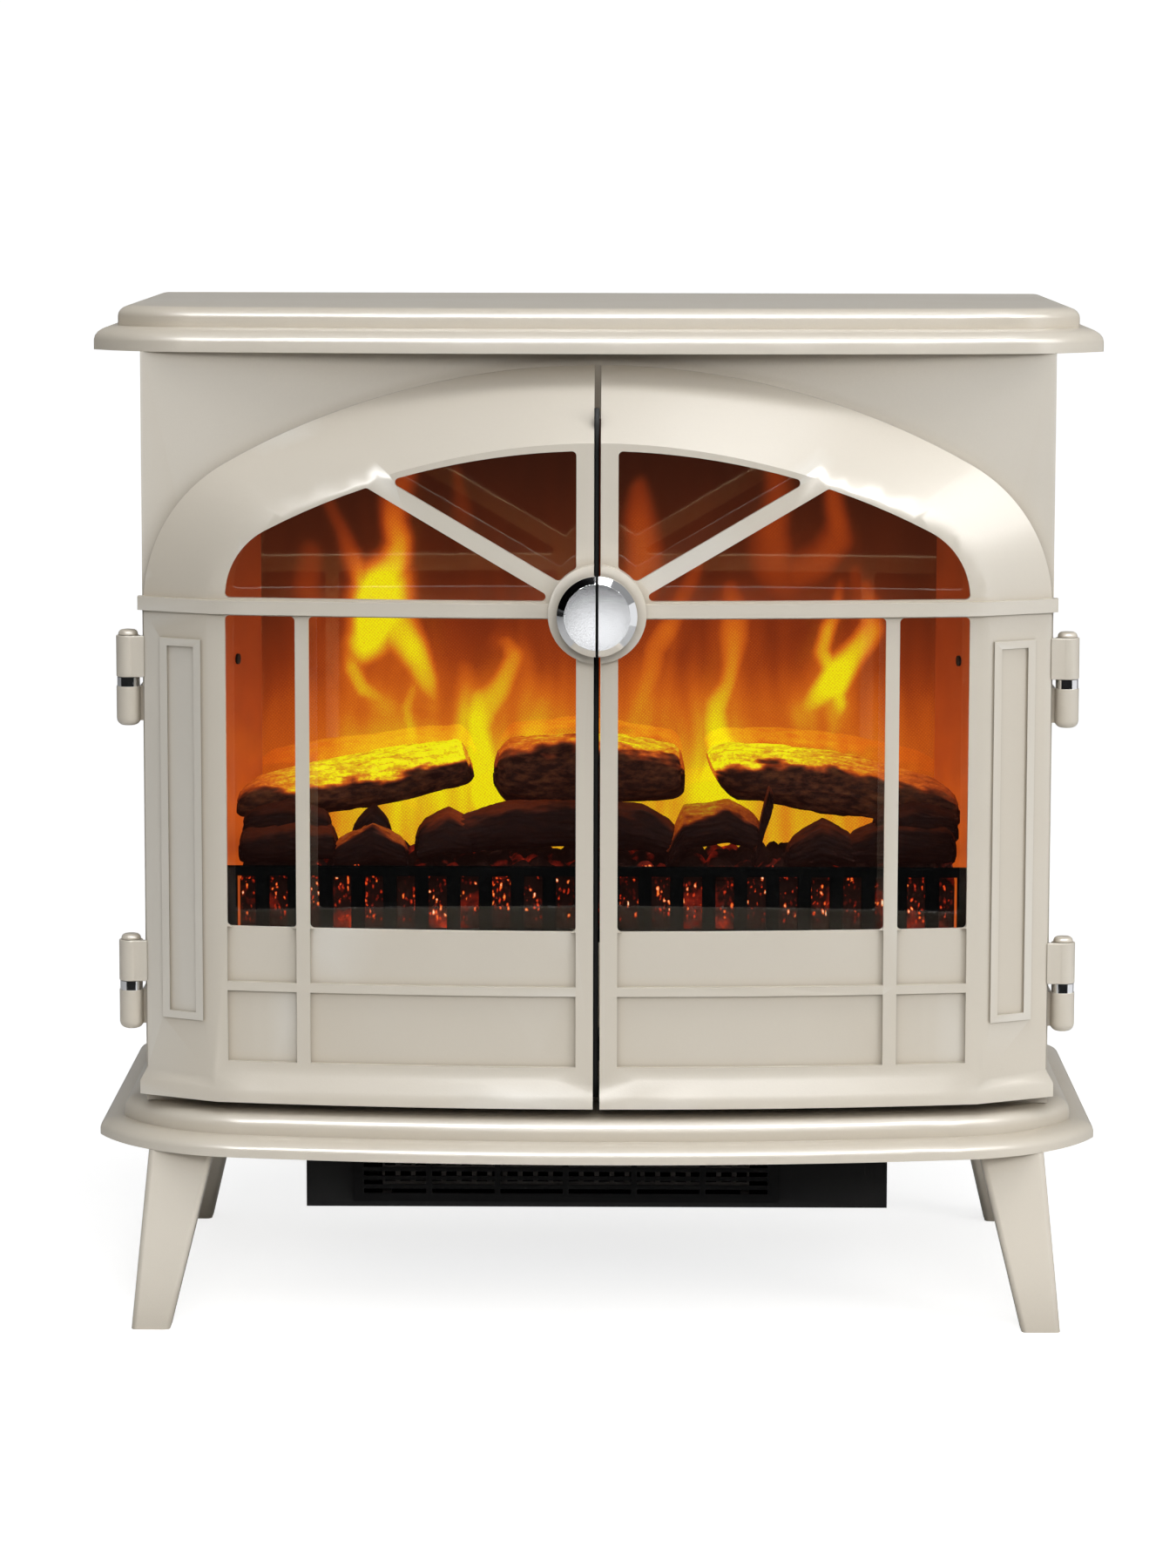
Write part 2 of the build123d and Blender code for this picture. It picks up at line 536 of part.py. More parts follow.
fan_solids = fan.solids().sort_by(SortBy.VOLUME)
fan_panes = [rounded_pane(piece) for piece in fan_solids[-2:]]
lower_panes -= rod_y(HUB_R, 0, (-FAR, 0), HUB_Z)

# sunk panels below the windows, divided by the bead and the bar
front_layer = block((stile_x, WINDOW_HALF), (-FAR, 0), (PANEL_FOOT_Z, WINDOW_SILL_Z))
front_layer -= block((0, FAR), (-FAR, 0), PANEL_BEAD)
front_layer -= block(MULLION, (-FAR, 0), (0, FAR))
right_door -= front_layer - Pos(0, PANEL_DEEP, 0) * door_full

right_door -= lower_panes
for piece in fan_panes:
    right_door -= piece

# return flange at the meeting edge
FLANGE_DEEP = 18.0
flange_y = (DOOR_FRONT_Y + DOOR_WALL - 1, DOOR_FRONT_Y + FLANGE_DEEP)
flange_z = (DOOR_BOTTOM_Z, DOOR_SPRING_Z + DOOR_RISE - DOOR_TOP_SLOPE)
right_door += block((HALF_GAP, HALF_GAP + DOOR_FLANGE), flange_y, flange_z)

# hinge and catch hardware that belongs to a door is added below
left_door = mirrored(right_door)
parts["right_door"] = right_door
parts["left_door"] = left_door

# ---------------------------------------------------------------- knob

neck_y = (HUB_FRONT_Y - KNOB_NECK, HUB_FRONT_Y)
knob = rod_y(KNOB_NECK_R, 0, neck_y, HUB_Z) + rod_y(KNOB_R, 0, (KNOB_FRONT_Y, neck_y[0]), HUB_Z)
knob_front_edge = knob.edges().filter_by(GeomType.CIRCLE).sort_by(Axis.Y)[0]
knob = chamfer(knob_front_edge, KNOB_R - KNOB_FACE_R)
right_knob = knob & block((KNOB_GAP / 2, FAR), (-FAR, 0), (0, FAR))
# the half knob only reaches back to its own door, so the strip over the gap stops at the neck
parts["right_knob"] = right_knob
parts["left_knob"] = mirrored(right_knob)

# ---------------------------------------------------------------- door hinges

hinge_y = FASCIA_Y
PIN_SUNK = 5.0               # foot of a pin's hole above the foot of its barrel
PIN_CAP = (6.5, 3.5)         # radius and height of the rounded cap on a pin
leaf_y = (DOOR_EDGE_Y - 1, DOOR_EDGE_Y - 1 + HINGE_LEAF)


def ring(outer, inner, x, y, z):
    return rod_z(outer, x, y, z) - rod_z(inner, x, y, (z[0] - 1, z[1] + 1))


door_leaves = []
body_leaves = []
pins = []
washers = []
for foot_z in HINGE_Z:
    washer_z = foot_z + HINGE_BODY_LEN
    barrel_z = washer_z + HINGE_WASHER + END_CLEAR
    top_z = barrel_z + HINGE_DOOR_LEN
    hole = rod_z(HINGE_PIN_R + RUNNING, HINGE_X, hinge_y, (foot_z, top_z + 10))
    leaf = block((DOOR_HALF, HINGE_X), leaf_y, (barrel_z, top_z))
    door_leaves.append(leaf + rod_z(HINGE_BARREL_R, HINGE_X, hinge_y, (barrel_z, top_z)) - hole)
    barrel = rod_z(HINGE_BARREL_R, HINGE_X, hinge_y, (foot_z, washer_z))
    foot_edge = barrel.edges().filter_by(GeomType.CIRCLE).sort_by(Axis.Z)[0]
    barrel = fillet(foot_edge, HINGE_BARREL_R * 0.6)
    plate = block((BODY_HALF, BODY_HALF + HINGE_LEAF / 2), (hinge_y, hinge_y + HINGE_PLATE),
                  (foot_z + 3, washer_z))
    barrel += plate
    barrel -= rod_z(HINGE_PIN_R, HINGE_X, hinge_y, (foot_z + PIN_SUNK, washer_z))
    body_leaves.append(barrel)
    washers.append(ring(HINGE_BARREL_R - 0.5, HINGE_PIN_R, HINGE_X, hinge_y,
                        (washer_z, washer_z + HINGE_WASHER)))
    pin = rod_z(HINGE_PIN_R, HINGE_X, hinge_y, (foot_z + PIN_SUNK, top_z + END_CLEAR))
    cap = rod_z(PIN_CAP[0], HINGE_X, hinge_y, (top_z + END_CLEAR, top_z + END_CLEAR + PIN_CAP[1]))
    cap_edge = cap.edges().filter_by(GeomType.CIRCLE).sort_by(Axis.Z)[-1]
    pins.append(pin + fillet(cap_edge, 3))
parts["right_hinge_leaves"] = Compound(door_leaves)
parts["left_hinge_leaves"] = Compound([mirrored(solid) for solid in door_leaves])
for name, solids in (("hinge_brackets", body_leaves), ("hinge_pins", pins), ("hinge_washers", washers)):
    parts[name] = Compound(solids + [mirrored(solid) for solid in solids])

# ---------------------------------------------------------------- magnetic catch

CATCH_HALF = 19.0
CATCH_Z = (177.0, 193.0)
STRIKE = 1.5
strike_front_y = flange_y[1] + FIT
strike_back_y = strike_front_y + STRIKE
catch_front_y = strike_back_y + FIT
catch = block((-CATCH_HALF, CATCH_HALF), (catch_front_y, FASCIA_Y - 8), CATCH_Z)
catch += block((-CATCH_HALF - 9, CATCH_HALF + 9), (FASCIA_Y - 8, FASCIA_Y), CATCH_Z)
parts["magnetic_catch"] = catch
strike_x = (HALF_GAP + DOOR_FLANGE, CATCH_HALF)
door_inside_y = DOOR_FRONT_Y + DOOR_WALL
strike = block((strike_x[0], strike_x[1] + STRIKE), (strike_front_y, strike_back_y), CATCH_Z)
strike_stem = block((strike_x[1], strike_x[1] + STRIKE), (door_inside_y, strike_front_y), CATCH_Z)
strike += strike_stem - door_full + (strike_stem & Pos(0, DOOR_WALL, 0) * door_full)
parts["right_strike"] = strike
parts["left_strike"] = mirrored(strike)

# ---------------------------------------------------------------- glass

glass = block((-GLASS_HALF, GLASS_HALF), (GLASS_FRONT_Y, GLASS_BACK_Y), GLASS_Z)
parts["front_glass"] = glass
CLIP = (16.0, 14.0)          # width and height of a glass clip
clips = []
CLIP_IN = 58.0               # foot of the end clips, in from the ends of the glass
clip_feet = (GLASS_Z[0] + CLIP_IN, (GLASS_Z[0] + GLASS_Z[1]) / 2, GLASS_Z[1] - CLIP_IN)
for side in (-1, 1):
    for clip_z in clip_feet:
        z = (clip_z, clip_z + CLIP[1])
        edge = GLASS_HALF
        clip = block((edge + FIT, edge + CLIP[0] / 2), (FASCIA_BACK_Y, GLASS_BACK_Y), z)
        clip += block((edge - CLIP[0] / 2, edge + CLIP[0] / 2), (GLASS_BACK_Y, GLASS_BACK_Y + FIT), z)
        clips.append(clip if side > 0 else mirrored(clip))
parts["glass_clips"] = Compound(clips)

# ---------------------------------------------------------------- fire shelf and firebox

shelf = block((-INNER_HALF, INNER_HALF), (FASCIA_BACK_Y, REAR_INNER_Y), (SHELF_Z, FLOOR_Z))
CABLE_HOLE_R = 9.0
CABLE_HOLE = (200.0, 66.0)   # from the middle, and ahead of the rear cover
shelf -= rod_z(CABLE_HOLE_R, CABLE_HOLE[0], REAR_Y - CABLE_HOLE[1], (0, FAR))

wall_front_y = FIREBOX_FRONT_Y + CLIP[1] / 4
wall_back_y = SCREEN_Y - FIT


def upright(points, z):
    """A straight prism on the given plan points."""
    edges = []
    for index, point in enumerate(points):
        edges.append(Line((*points[index - 1], z[0]), (*point, z[0])))
    return extrude(closed_face(edges), amount=z[1] - z[0], dir=(0, 0, 1))


right_wall = upright([
    (FIREBOX_FRONT_HALF, wall_front_y), (FIREBOX_FRONT_HALF + SHEET, wall_front_y),
    (FIREBOX_BACK_HALF + SHEET, wall_back_y), (FIREBOX_BACK_HALF, wall_back_y),
], (FLOOR_Z, FIREBOX_TOP_Z))
parts["right_firebox_wall"] = right_wall
parts["left_firebox_wall"] = mirrored(right_wall)
# one screw head shows on each wall
WALL_SCREW = (0.62, 46.0)    # share of the way back along the wall, and drop under the arch's start
WALL_SCREW_R = 3.6
WALL_SCREW_PROUD = 1.4
wall_slant = degrees(atan2(FIREBOX_FRONT_HALF - FIREBOX_BACK_HALF, wall_back_y - wall_front_y))
wall_screw_x = FIREBOX_FRONT_HALF + (FIREBOX_BACK_HALF - FIREBOX_FRONT_HALF) * WALL_SCREW[0]
wall_screw_y = wall_front_y + (wall_back_y - wall_front_y) * WALL_SCREW[0]
wall_screw_at = Pos(wall_screw_x, wall_screw_y, DOOR_SPRING_Z - WALL_SCREW[1]) * Rot(0, 0, wall_slant)
wall_screw = wall_screw_at * rod_x(WALL_SCREW_R, (-WALL_SCREW_PROUD, 0), 0, 0)
wall_shank = wall_screw_at * rod_x(SCREW_R, (0, SHEET + 4), 0, 0)
parts["wall_screws"] = Compound([wall_screw + wall_shank, mirrored(wall_screw + wall_shank)])
parts["right_firebox_wall"] -= wall_shank
parts["left_firebox_wall"] -= mirrored(wall_shank)
ceiling_half = FIREBOX_FRONT_HALF + SHEET
parts["firebox_ceiling"] = block((-ceiling_half, ceiling_half), (wall_front_y, SCREEN_Y + SCREEN),
                                 (FIREBOX_TOP_Z, FIREBOX_TOP_Z + SHEET))
SCREEN_LAP = 10.0            # flame screen behind the end of each wall
screen_half = FIREBOX_BACK_HALF + SCREEN_LAP
parts["flame_screen"] = block((-screen_half, screen_half), (SCREEN_Y, SCREEN_Y + SCREEN),
                              (FLOOR_Z, FIREBOX_TOP_Z))

# ---------------------------------------------------------------- fuel bed

grate_y = (GRATE_Y, GRATE_Y + GRATE[0])
GRATE_SHORT = 16.0           # end of the fender, in from the front edge of the wall
GRATE_RAILS = (22.0, 6.0)    # height of its low and its high rail
grate_half = FIREBOX_FRONT_HALF - GRATE_SHORT
grate_top_z = FLOOR_Z + GRATE[1]
grate = block((-grate_half, grate_half), grate_y, (FLOOR_Z, FLOOR_Z + GRATE_RAILS[0]))
grate += block((-grate_half, grate_half), grate_y, (grate_top_z - GRATE_RAILS[1], grate_top_z))
bars = int(2 * grate_half / GRATE_PITCH)
for index in range(bars + 1):
    x = (index - bars / 2) * GRATE_PITCH
    grate += block((x - GRATE_BAR / 2, x + GRATE_BAR / 2), grate_y, (FLOOR_Z, grate_top_z))
parts["ember_grate"] = grate

bed_y = (grate_y[1] + FIT, SCREEN_Y - 2 * FIT)
BED_HIGH = 66.0
BED_CHAMFER = 18.0
BED_WALL = (20.0, 4.0, 22.0)     # ends, front and back, top
BED_CLEAR = (10.0, 6.0)      # gap to the wall at the front and at the back corners
bed_front_half = grate_half - BED_CLEAR[0]
bed_back_half = FIREBOX_BACK_HALF - BED_CLEAR[1]
bed_top_z = FLOOR_Z + BED_HIGH
bed = upright([(-bed_front_half, bed_y[0]), (bed_front_half, bed_y[0]),
               (bed_back_half, bed_y[1]), (-bed_back_half, bed_y[1])], (FLOOR_Z, bed_top_z))
bed_crest = bed.edges().filter_by(Axis.X).group_by(Axis.Z)[-1]
bed = chamfer(bed_crest, BED_CHAMFER)
bed_hollow_half = bed_front_half - BED_WALL[0]
bed -= block((-bed_hollow_half, bed_hollow_half), (bed_y[0] + BED_WALL[1], bed_y[1] - BED_WALL[1]),
             (FLOOR_Z, bed_top_z - BED_WALL[2]))
parts["ember_bed"] = bed


def log(start, end, radius):
    """A log as a tapered round bar between two points."""
    run = Vector(*end) - Vector(*start)
    plane = Plane(origin=start, z_dir=run)
    far = Plane(origin=end, z_dir=run)
    return Solid.make_loft([(plane * Circle(radius[0])).faces()[0].outer_wire(),
                            (far * Circle(radius[1])).faces()[0].outer_wire()], ruled=True)


# each log: both ends and its radius there
LOG_END = 9.0                # outer end of a side log, in from the end of the fender
LOG_BACK = (30.0, 62.0)      # a side log's outer and inner end, behind the fender
log_outer_y = grate_y[1] + LOG_BACK[0]
log_inner_y = grate_y[1] + LOG_BACK[1]
log_end_x = grate_half - LOG_END
LOGS = {
    "left_log": ((-log_end_x, log_outer_y, 335.5), (-87.0, log_inner_y, 360.0), (12.0, 17.0)),
    "centre_log": ((-69.0, log_inner_y, 356.0), (63.0, log_inner_y, 354.0), (24.0, 19.0)),
    "right_log": ((77.0, log_inner_y, 355.0), (log_end_x, log_outer_y, 333.5), (20.0, 15.0)),
}
for name, (start, end, radius) in LOGS.items():
    timber = log(start, end, radius)
    parts[name] = timber

# props that the logs rest on
PROP = (11.0, 12.0)          # half width and half depth
PROP_SUNK = 30.0
props = []
for start, end, radius in LOGS.values():
    for share in (0.2, 0.8):
        x, y, z = [a + (b - a) * share for a, b in zip(start, end)]
        prop = block((x - PROP[0], x + PROP[0]), (y - PROP[1], y + PROP[1]), (bed_top_z - PROP_SUNK, z))
        for other in LOGS:
            prop -= parts[other]
        props.append(prop.solids().sort_by(Axis.Z)[0])
for prop in props:
    parts["ember_bed"] += prop

# ---------------------------------------------------------------- lights

LED_THICK = 1.6
LED_DOME = 2.5
LED_GAP = 30.0
LED_EDGE = 15.0              # least room from the last diode to the board's end


def led_board(x_half, y, z):
    """A strip of circuit board with a row of light-emitting diodes on top."""
    board = block((-x_half, x_half), y, (z, z + LED_THICK))
    middle_y = (y[0] + y[1]) / 2
    count = int(2 * (x_half - LED_EDGE) / LED_GAP) + 1
    for index in range(count):
        x = (index - (count - 1) / 2) * LED_GAP
        board += rod_z(LED_DOME, x, middle_y, (z + LED_THICK, z + LED_THICK + LED_DOME))
    return board


ember_board_y = (bed_y[0] + 25.5, bed_y[0] + 41.5)
parts["ember_light_board"] = led_board(ROTOR_HALF - 5, ember_board_y, FLOOR_Z)
parts["flame_light_board"] = led_board(ROTOR_HALF - 15, (ROTOR_Y + 26, ROTOR_Y + 44), FLOOR_Z)

# ---------------------------------------------------------------- flame rotor

rotor = rod_x(ROTOR_SHAFT_R, (-ROTOR_HALF - 14, ROTOR_HALF + 12), ROTOR_Y, ROTOR_Z)
FLAP_RING = 8                # flaps along the shaft
flap_pitch = 2 * ROTOR_HALF / FLAP_RING
for index in range(FLAP_RING):
    x = (index + 0.5) * flap_pitch - ROTOR_HALF
    for blade in range(3):
        angle = blade * 120 + index * 45
        flap = block((x - flap_pitch * 0.4, x + flap_pitch * 0.4), (-0.5, 0.5), (0, ROTOR_FLAP))
        rotor += Pos(0, ROTOR_Y, ROTOR_Z) * Rot(angle, 0, 0) * flap
parts["flame_rotor"] = rotor

motor_x = (ROTOR_HALF + 4, ROTOR_HALF + 4 + MOTOR_LEN)
motor = rod_x(MOTOR_R, motor_x, ROTOR_Y, ROTOR_Z)
motor += block((motor_x[0], motor_x[0] + 3), (ROTOR_Y - MOTOR_R, ROTOR_Y + MOTOR_R), (FLOOR_Z, ROTOR_Z))
motor -= rod_x(ROTOR_SHAFT_R + RUNNING, (motor_x[0], motor_x[1] - 6), ROTOR_Y, ROTOR_Z)
parts["rotor_motor"] = motor
bearing_x = (-ROTOR_HALF - 12, -ROTOR_HALF - 6)
bearing = block(bearing_x, (ROTOR_Y - 12, ROTOR_Y + 12), (FLOOR_Z, ROTOR_Z + 12))
bearing -= rod_x(ROTOR_SHAFT_R + RUNNING, (bearing_x[0], bearing_x[1]), ROTOR_Y, ROTOR_Z)
parts["rotor_bearing"] = bearing

# ---------------------------------------------------------------- control panel

panel_y = (FASCIA_Y - CONTROL_THICK, FASCIA_Y)
border = 6.0
control = block((CONTROL_X[0] - border, CONTROL_X[1] + border), panel_y,
                (CONTROL_Z[0] - border, CONTROL_Z[1] + border))
well_back_y = FASCIA_Y + 16
control += block((CONTROL_X[0] + FIT, CONTROL_X[1] - FIT), (FASCIA_Y, well_back_y),
                 (CONTROL_Z[0] + FIT, CONTROL_Z[1] - FIT))
rocker_z = (CONTROL_Z[0] + CONTROL_Z[1]) / 2
rocker_y = FASCIA_Y + 2
rocker_clear = 1.2
first_rocker_x = CONTROL_X[0] + 24
for index, name in enumerate(("fire_rocker", "low_heat_rocker", "high_heat_rocker")):
    x = first_rocker_x + index * ROCKER_PITCH
    half_w = ROCKER[0] / 2
    half_h = ROCKER[1] / 2
    rocker = block((x - half_w, x + half_w), (panel_y[0] - 4, rocker_y + 3),
                   (rocker_z - half_h, rocker_z + half_h))
    dish = rod_x(3 * half_h, (x - half_w, x + half_w), panel_y[0] - 4 - 3 * half_h + 2.5, rocker_z)
    rocker -= dish
    rocker += rod_x(1.5, (x - half_w - 2, x + half_w + 2), rocker_y, rocker_z)
    # a rocker rests tipped to its off side
    pivot = Pos(x, rocker_y, rocker_z)
    parts[name] = pivot * Rot(ROCKER_TRAVEL, 0, 0) * pivot.inverse() * rocker
    control -= block((x - half_w - FIT, x + half_w + FIT), (panel_y[0], well_back_y - 2),
                     (rocker_z - half_h - rocker_clear, rocker_z + half_h + rocker_clear))
    control -= rod_x(1.5 + RUNNING, (x - half_w - 2.5, x + half_w + 2.5), rocker_y, rocker_z)
dial_x = CONTROL_X[1] - 30
dial = rod_y(DIAL_R, dial_x, (panel_y[0] - 1 - DIAL_DEPTH, panel_y[0] - 1), rocker_z)
dial_rim = dial.edges().filter_by(GeomType.CIRCLE).sort_by(Axis.Y)[0]
dial = chamfer(dial_rim, 2)
dial += rod_y(SPINDLE_R, dial_x, (panel_y[0] - 1, well_back_y - 4), rocker_z)
pointer = block((dial_x - 1, dial_x + 1), (panel_y[0] - 2 - DIAL_DEPTH, panel_y[0] - 1 - DIAL_DEPTH),
                (rocker_z + 4, rocker_z + DIAL_R - 3))
parts["thermostat_dial"] = dial + pointer
control -= rod_y(SPINDLE_R + RUNNING, dial_x, (panel_y[0], well_back_y - 3), rocker_z)
parts["control_panel"] = control

# ---------------------------------------------------------------- main board

BOARD_X = (-200.0, -70.0)
BOARD_DEEP = 74.0
BOARD_AHEAD = 16.0           # back edge, ahead of the rear cover
BOARD_POST = (3.0, 8.0)      # radius and height of a post under the board
board_y = (REAR_Y - BOARD_AHEAD - BOARD_DEEP, REAR_Y - BOARD_AHEAD)
board_z = BASE_TOP_Z + BOARD_POST[1]
main_board = block(BOARD_X, board_y, (board_z, board_z + LED_THICK))
for x in (BOARD_X[0] + 6, BOARD_X[1] - 6):
    for y in (board_y[0] + 6, board_y[1] - 6):
        main_board += rod_z(BOARD_POST[0], x, y, (BASE_TOP_Z, board_z))
# transformer, relay and terminal strip, by their limits from the board's near left corner
for x, y, high in (((10, 50), (14, 44), 22), ((60, 80), (14, 29), 16), ((90, 120), (44, 59), 12)):
    main_board += block((BOARD_X[0] + x[0], BOARD_X[0] + x[1]), (board_y[0] + y[0], board_y[0] + y[1]),
                        (board_z, board_z + high))
parts["main_board"] = main_board

# ---------------------------------------------------------------- heater under the base

case_top_z = BASE_UNDER_Z
heater_case = block((-HEATER_HALF, HEATER_HALF), HEATER_Y, (HEATER_Z, case_top_z))
heater_case -= block((-HEATER_HALF + HEATER_WALL, HEATER_HALF - HEATER_WALL),
                     (HEATER_Y[0] + HEATER_WALL, HEATER_Y[1] - HEATER_WALL),
                     (HEATER_Z + HEATER_WALL, case_top_z))
outlet_z = (HEATER_Z + 8, case_top_z - 6)
heater_case -= block(GRILLE_X, (HEATER_Y[0], HEATER_Y[0] + HEATER_WALL), outlet_z)

grille_y = (HEATER_Y[0] - 1.5, HEATER_Y[0])
grille = block((GRILLE_X[0] - 5, GRILLE_X[1] + 5), grille_y, (outlet_z[0] - 4, outlet_z[1] + 4))
cells = 6
cell = (GRILLE_X[1] - GRILLE_X[0]) / cells
slot_rows = int((outlet_z[1] - outlet_z[0]) / GRILLE_PITCH)
for column in range(cells):
    x = (GRILLE_X[0] + column * cell + 2, GRILLE_X[0] + (column + 1) * cell - 2)
    for row in range(slot_rows):
        z = outlet_z[0] + (row + 0.5) * GRILLE_PITCH
        grille -= block(x, grille_y, (z - GRILLE_SLOT / 2, z + GRILLE_SLOT / 2))
parts["outlet_grille"] = grille

blower_mid_x = (GRILLE_X[0] + GRILLE_X[1]) / 2
blower_z = (HEATER_Z + case_top_z) / 2
element_x = (blower_mid_x - BLOWER_HALF, blower_mid_x + BLOWER_HALF)
element = block(element_x, (HEATER_Y[0] + 14, HEATER_Y[0] + 26), (HEATER_Z + 12, case_top_z - 10))
for index in range(24):
    x = element_x[0] + (index + 0.5) * 2 * BLOWER_HALF / 24
    for row in range(3):
        z = HEATER_Z + 18 + row * 11
        element -= block((x - 3.6, x + 3.6), (-FAR, 0), (z - 3.6, z + 3.6))
for x in (element_x[0], element_x[1] - 6):
    element += block((x, x + 6), (HEATER_Y[0] + 12, HEATER_Y[0] + 28), (HEATER_Z + HEATER_WALL, HEATER_Z + 12))
parts["heating_element"] = element

blower = rod_x(SPINDLE_R, (element_x[0] - 14, element_x[1] + 14), BLOWER_Y, blower_z)
for x in (element_x[0], element_x[1] - 2, blower_mid_x - 1):
    blower += rod_x(BLOWER_R, (x, x + 2), BLOWER_Y, blower_z)
for index in range(18):
    vane = block((element_x[0], element_x[1]), (-0.5, 0.5), (BLOWER_R - 5.5, BLOWER_R - 0.5))
    blower += Pos(0, BLOWER_Y, blower_z) * Rot(index * 20, 0, 0) * vane
parts["blower_rotor"] = blower
blower_motor_x = (element_x[1] + 6, element_x[1] + 40)
blower_motor = rod_x(17, blower_motor_x, BLOWER_Y, blower_z)
blower_motor += block((blower_motor_x[0] + 8, blower_motor_x[0] + 24), (BLOWER_Y - 12, BLOWER_Y + 12),
                      (HEATER_Z + HEATER_WALL, blower_z))
blower_motor -= rod_x(SPINDLE_R + RUNNING, (blower_motor_x[0], blower_motor_x[0] + 10), BLOWER_Y, blower_z)
parts["blower_motor"] = blower_motor
bush_x = (element_x[0] - 12, element_x[0] - 6)
bush = block(bush_x, (BLOWER_Y - 10, BLOWER_Y + 10), (HEATER_Z + HEATER_WALL, blower_z + 10))
bush -= rod_x(SPINDLE_R + RUNNING, bush_x, BLOWER_Y, blower_z)
parts["blower_bush"] = bush
cutout_x = element_x[1] + 22
parts["thermal_cutout"] = block((cutout_x, cutout_x + 16), (HEATER_Y[0] + 14, HEATER_Y[0] + 26),
                                (HEATER_Z + HEATER_WALL, HEATER_Z + 16))
parts["heater_case"] = heater_case

# ---------------------------------------------------------------- cable gland

GLAND_R = 8.0
GLAND_BORE_R = 3.8
GLAND_INSET = 50.0           # middle of the gland, in from the side of the casing
GLAND_UP = 25.0              # and above the base
gland_x = GLAND_INSET - BODY_HALF
gland_z = BASE_TOP_Z + GLAND_UP
rear_cover -= rod_y(GLAND_R, gland_x, (REAR_INNER_Y, REAR_Y), gland_z)
gland = rod_y(GLAND_R, gland_x, (REAR_INNER_Y - 6, REAR_Y), gland_z)
gland += rod_y(GLAND_R + 4, gland_x, (REAR_Y, REAR_Y + 5), gland_z)
gland += rod_y(GLAND_R + 3, gland_x, (REAR_INNER_Y - 6, REAR_INNER_Y), gland_z)
gland -= rod_y(GLAND_BORE_R, gland_x, (REAR_INNER_Y - 10, REAR_Y + 10), gland_z)
parts["cable_gland"] = gland

# ---------------------------------------------------------------- screws


def screws_y(places, face_y, length, out):
    """Pan-head screws along Y, each through a sheet at face_y; out is -1 or 1."""
    solids = []
    for x, z in places:
        head = sorted((face_y, face_y + out * SCREW_HEAD[1]))
        shank = sorted((face_y, face_y - out * length))
        solids.append(rod_y(SCREW_HEAD[0], x, head, z) + rod_y(SCREW_R, x, shank, z))
    return Compound(solids)


REAR_TAB = 12.0
rear_places = []
for side in (-1, 1):
    for z in (BASE_TOP_Z + 20, SHELF_Z + 40, 420.0, TOP_UNDER_Z - 20):
        rear_places.append((side * (INNER_HALF - REAR_TAB / 2), z))
for x, z in rear_places:
    rear_cover -= rod_y(SCREW_R, x, (REAR_INNER_Y, REAR_Y), z)
parts["rear_screws"] = screws_y(rear_places, REAR_Y, 8, 1)
# a folded tab down the back edge of each side panel takes the rear screws
tab = block((INNER_HALF - REAR_TAB, INNER_HALF), (REAR_INNER_Y - SHEET, REAR_INNER_Y),
            (BASE_TOP_Z, SHELF_Z - 2))
tab += block((INNER_HALF - REAR_TAB, INNER_HALF), (REAR_INNER_Y - SHEET, REAR_INNER_Y),
             (FLOOR_Z + 2, TOP_UNDER_Z))
side_panel += tab
for x, z in rear_places:
    if x > 0:
        side_panel -= rod_y(SCREW_R, x, (REAR_INNER_Y - 20, REAR_INNER_Y), z)
parts["right_side_panel"] = side_panel
parts["left_side_panel"] = mirrored(side_panel)
parts["rear_cover"] = rear_cover

panel_places = []
for x in (CONTROL_X[0] - border / 2, CONTROL_X[1] + border / 2):
    for z in (CONTROL_Z[0] - border / 2, CONTROL_Z[1] + border / 2):
        panel_places.append((x, z))
for x, z in panel_places:
    parts["control_panel"] -= rod_y(SCREW_R, x, panel_y, z)
    fascia -= rod_y(SCREW_R, x, (FASCIA_Y, FASCIA_BACK_Y), z)
panel_screw_len = CONTROL_THICK + SHEET + 3
parts["panel_screws"] = screws_y(panel_places, panel_y[0], panel_screw_len, -1)
parts["fascia"] = fascia
for x, z in panel_places:
    shelf -= rod_y(SCREW_R, x, (FASCIA_BACK_Y, panel_y[0] + panel_screw_len), z)
parts["fire_shelf"] = shelf

# ---------------------------------------------------------------- write one STEP per piece

os.makedirs("parts", exist_ok=True)
for name, shape in parts.items():
    export_step(shape, f"parts/{name}.step")
print(len(parts), "nodes written")
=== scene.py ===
import math

import bpy
import numpy as np
from mathutils import Matrix, Vector, noise


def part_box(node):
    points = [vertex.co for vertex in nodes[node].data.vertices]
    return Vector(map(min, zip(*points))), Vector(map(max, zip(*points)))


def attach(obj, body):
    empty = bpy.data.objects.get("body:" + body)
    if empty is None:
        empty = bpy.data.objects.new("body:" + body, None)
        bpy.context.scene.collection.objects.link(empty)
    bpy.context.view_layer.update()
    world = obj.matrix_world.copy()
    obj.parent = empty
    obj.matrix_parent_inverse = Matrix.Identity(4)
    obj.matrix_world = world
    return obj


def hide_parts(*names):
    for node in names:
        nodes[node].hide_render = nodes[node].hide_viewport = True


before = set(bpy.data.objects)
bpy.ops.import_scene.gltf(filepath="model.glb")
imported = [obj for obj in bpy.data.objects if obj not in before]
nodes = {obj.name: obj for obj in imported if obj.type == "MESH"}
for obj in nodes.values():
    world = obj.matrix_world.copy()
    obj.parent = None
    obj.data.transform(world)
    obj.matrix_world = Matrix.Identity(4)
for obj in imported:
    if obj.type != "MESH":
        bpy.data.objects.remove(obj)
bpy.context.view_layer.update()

MM = 0.001


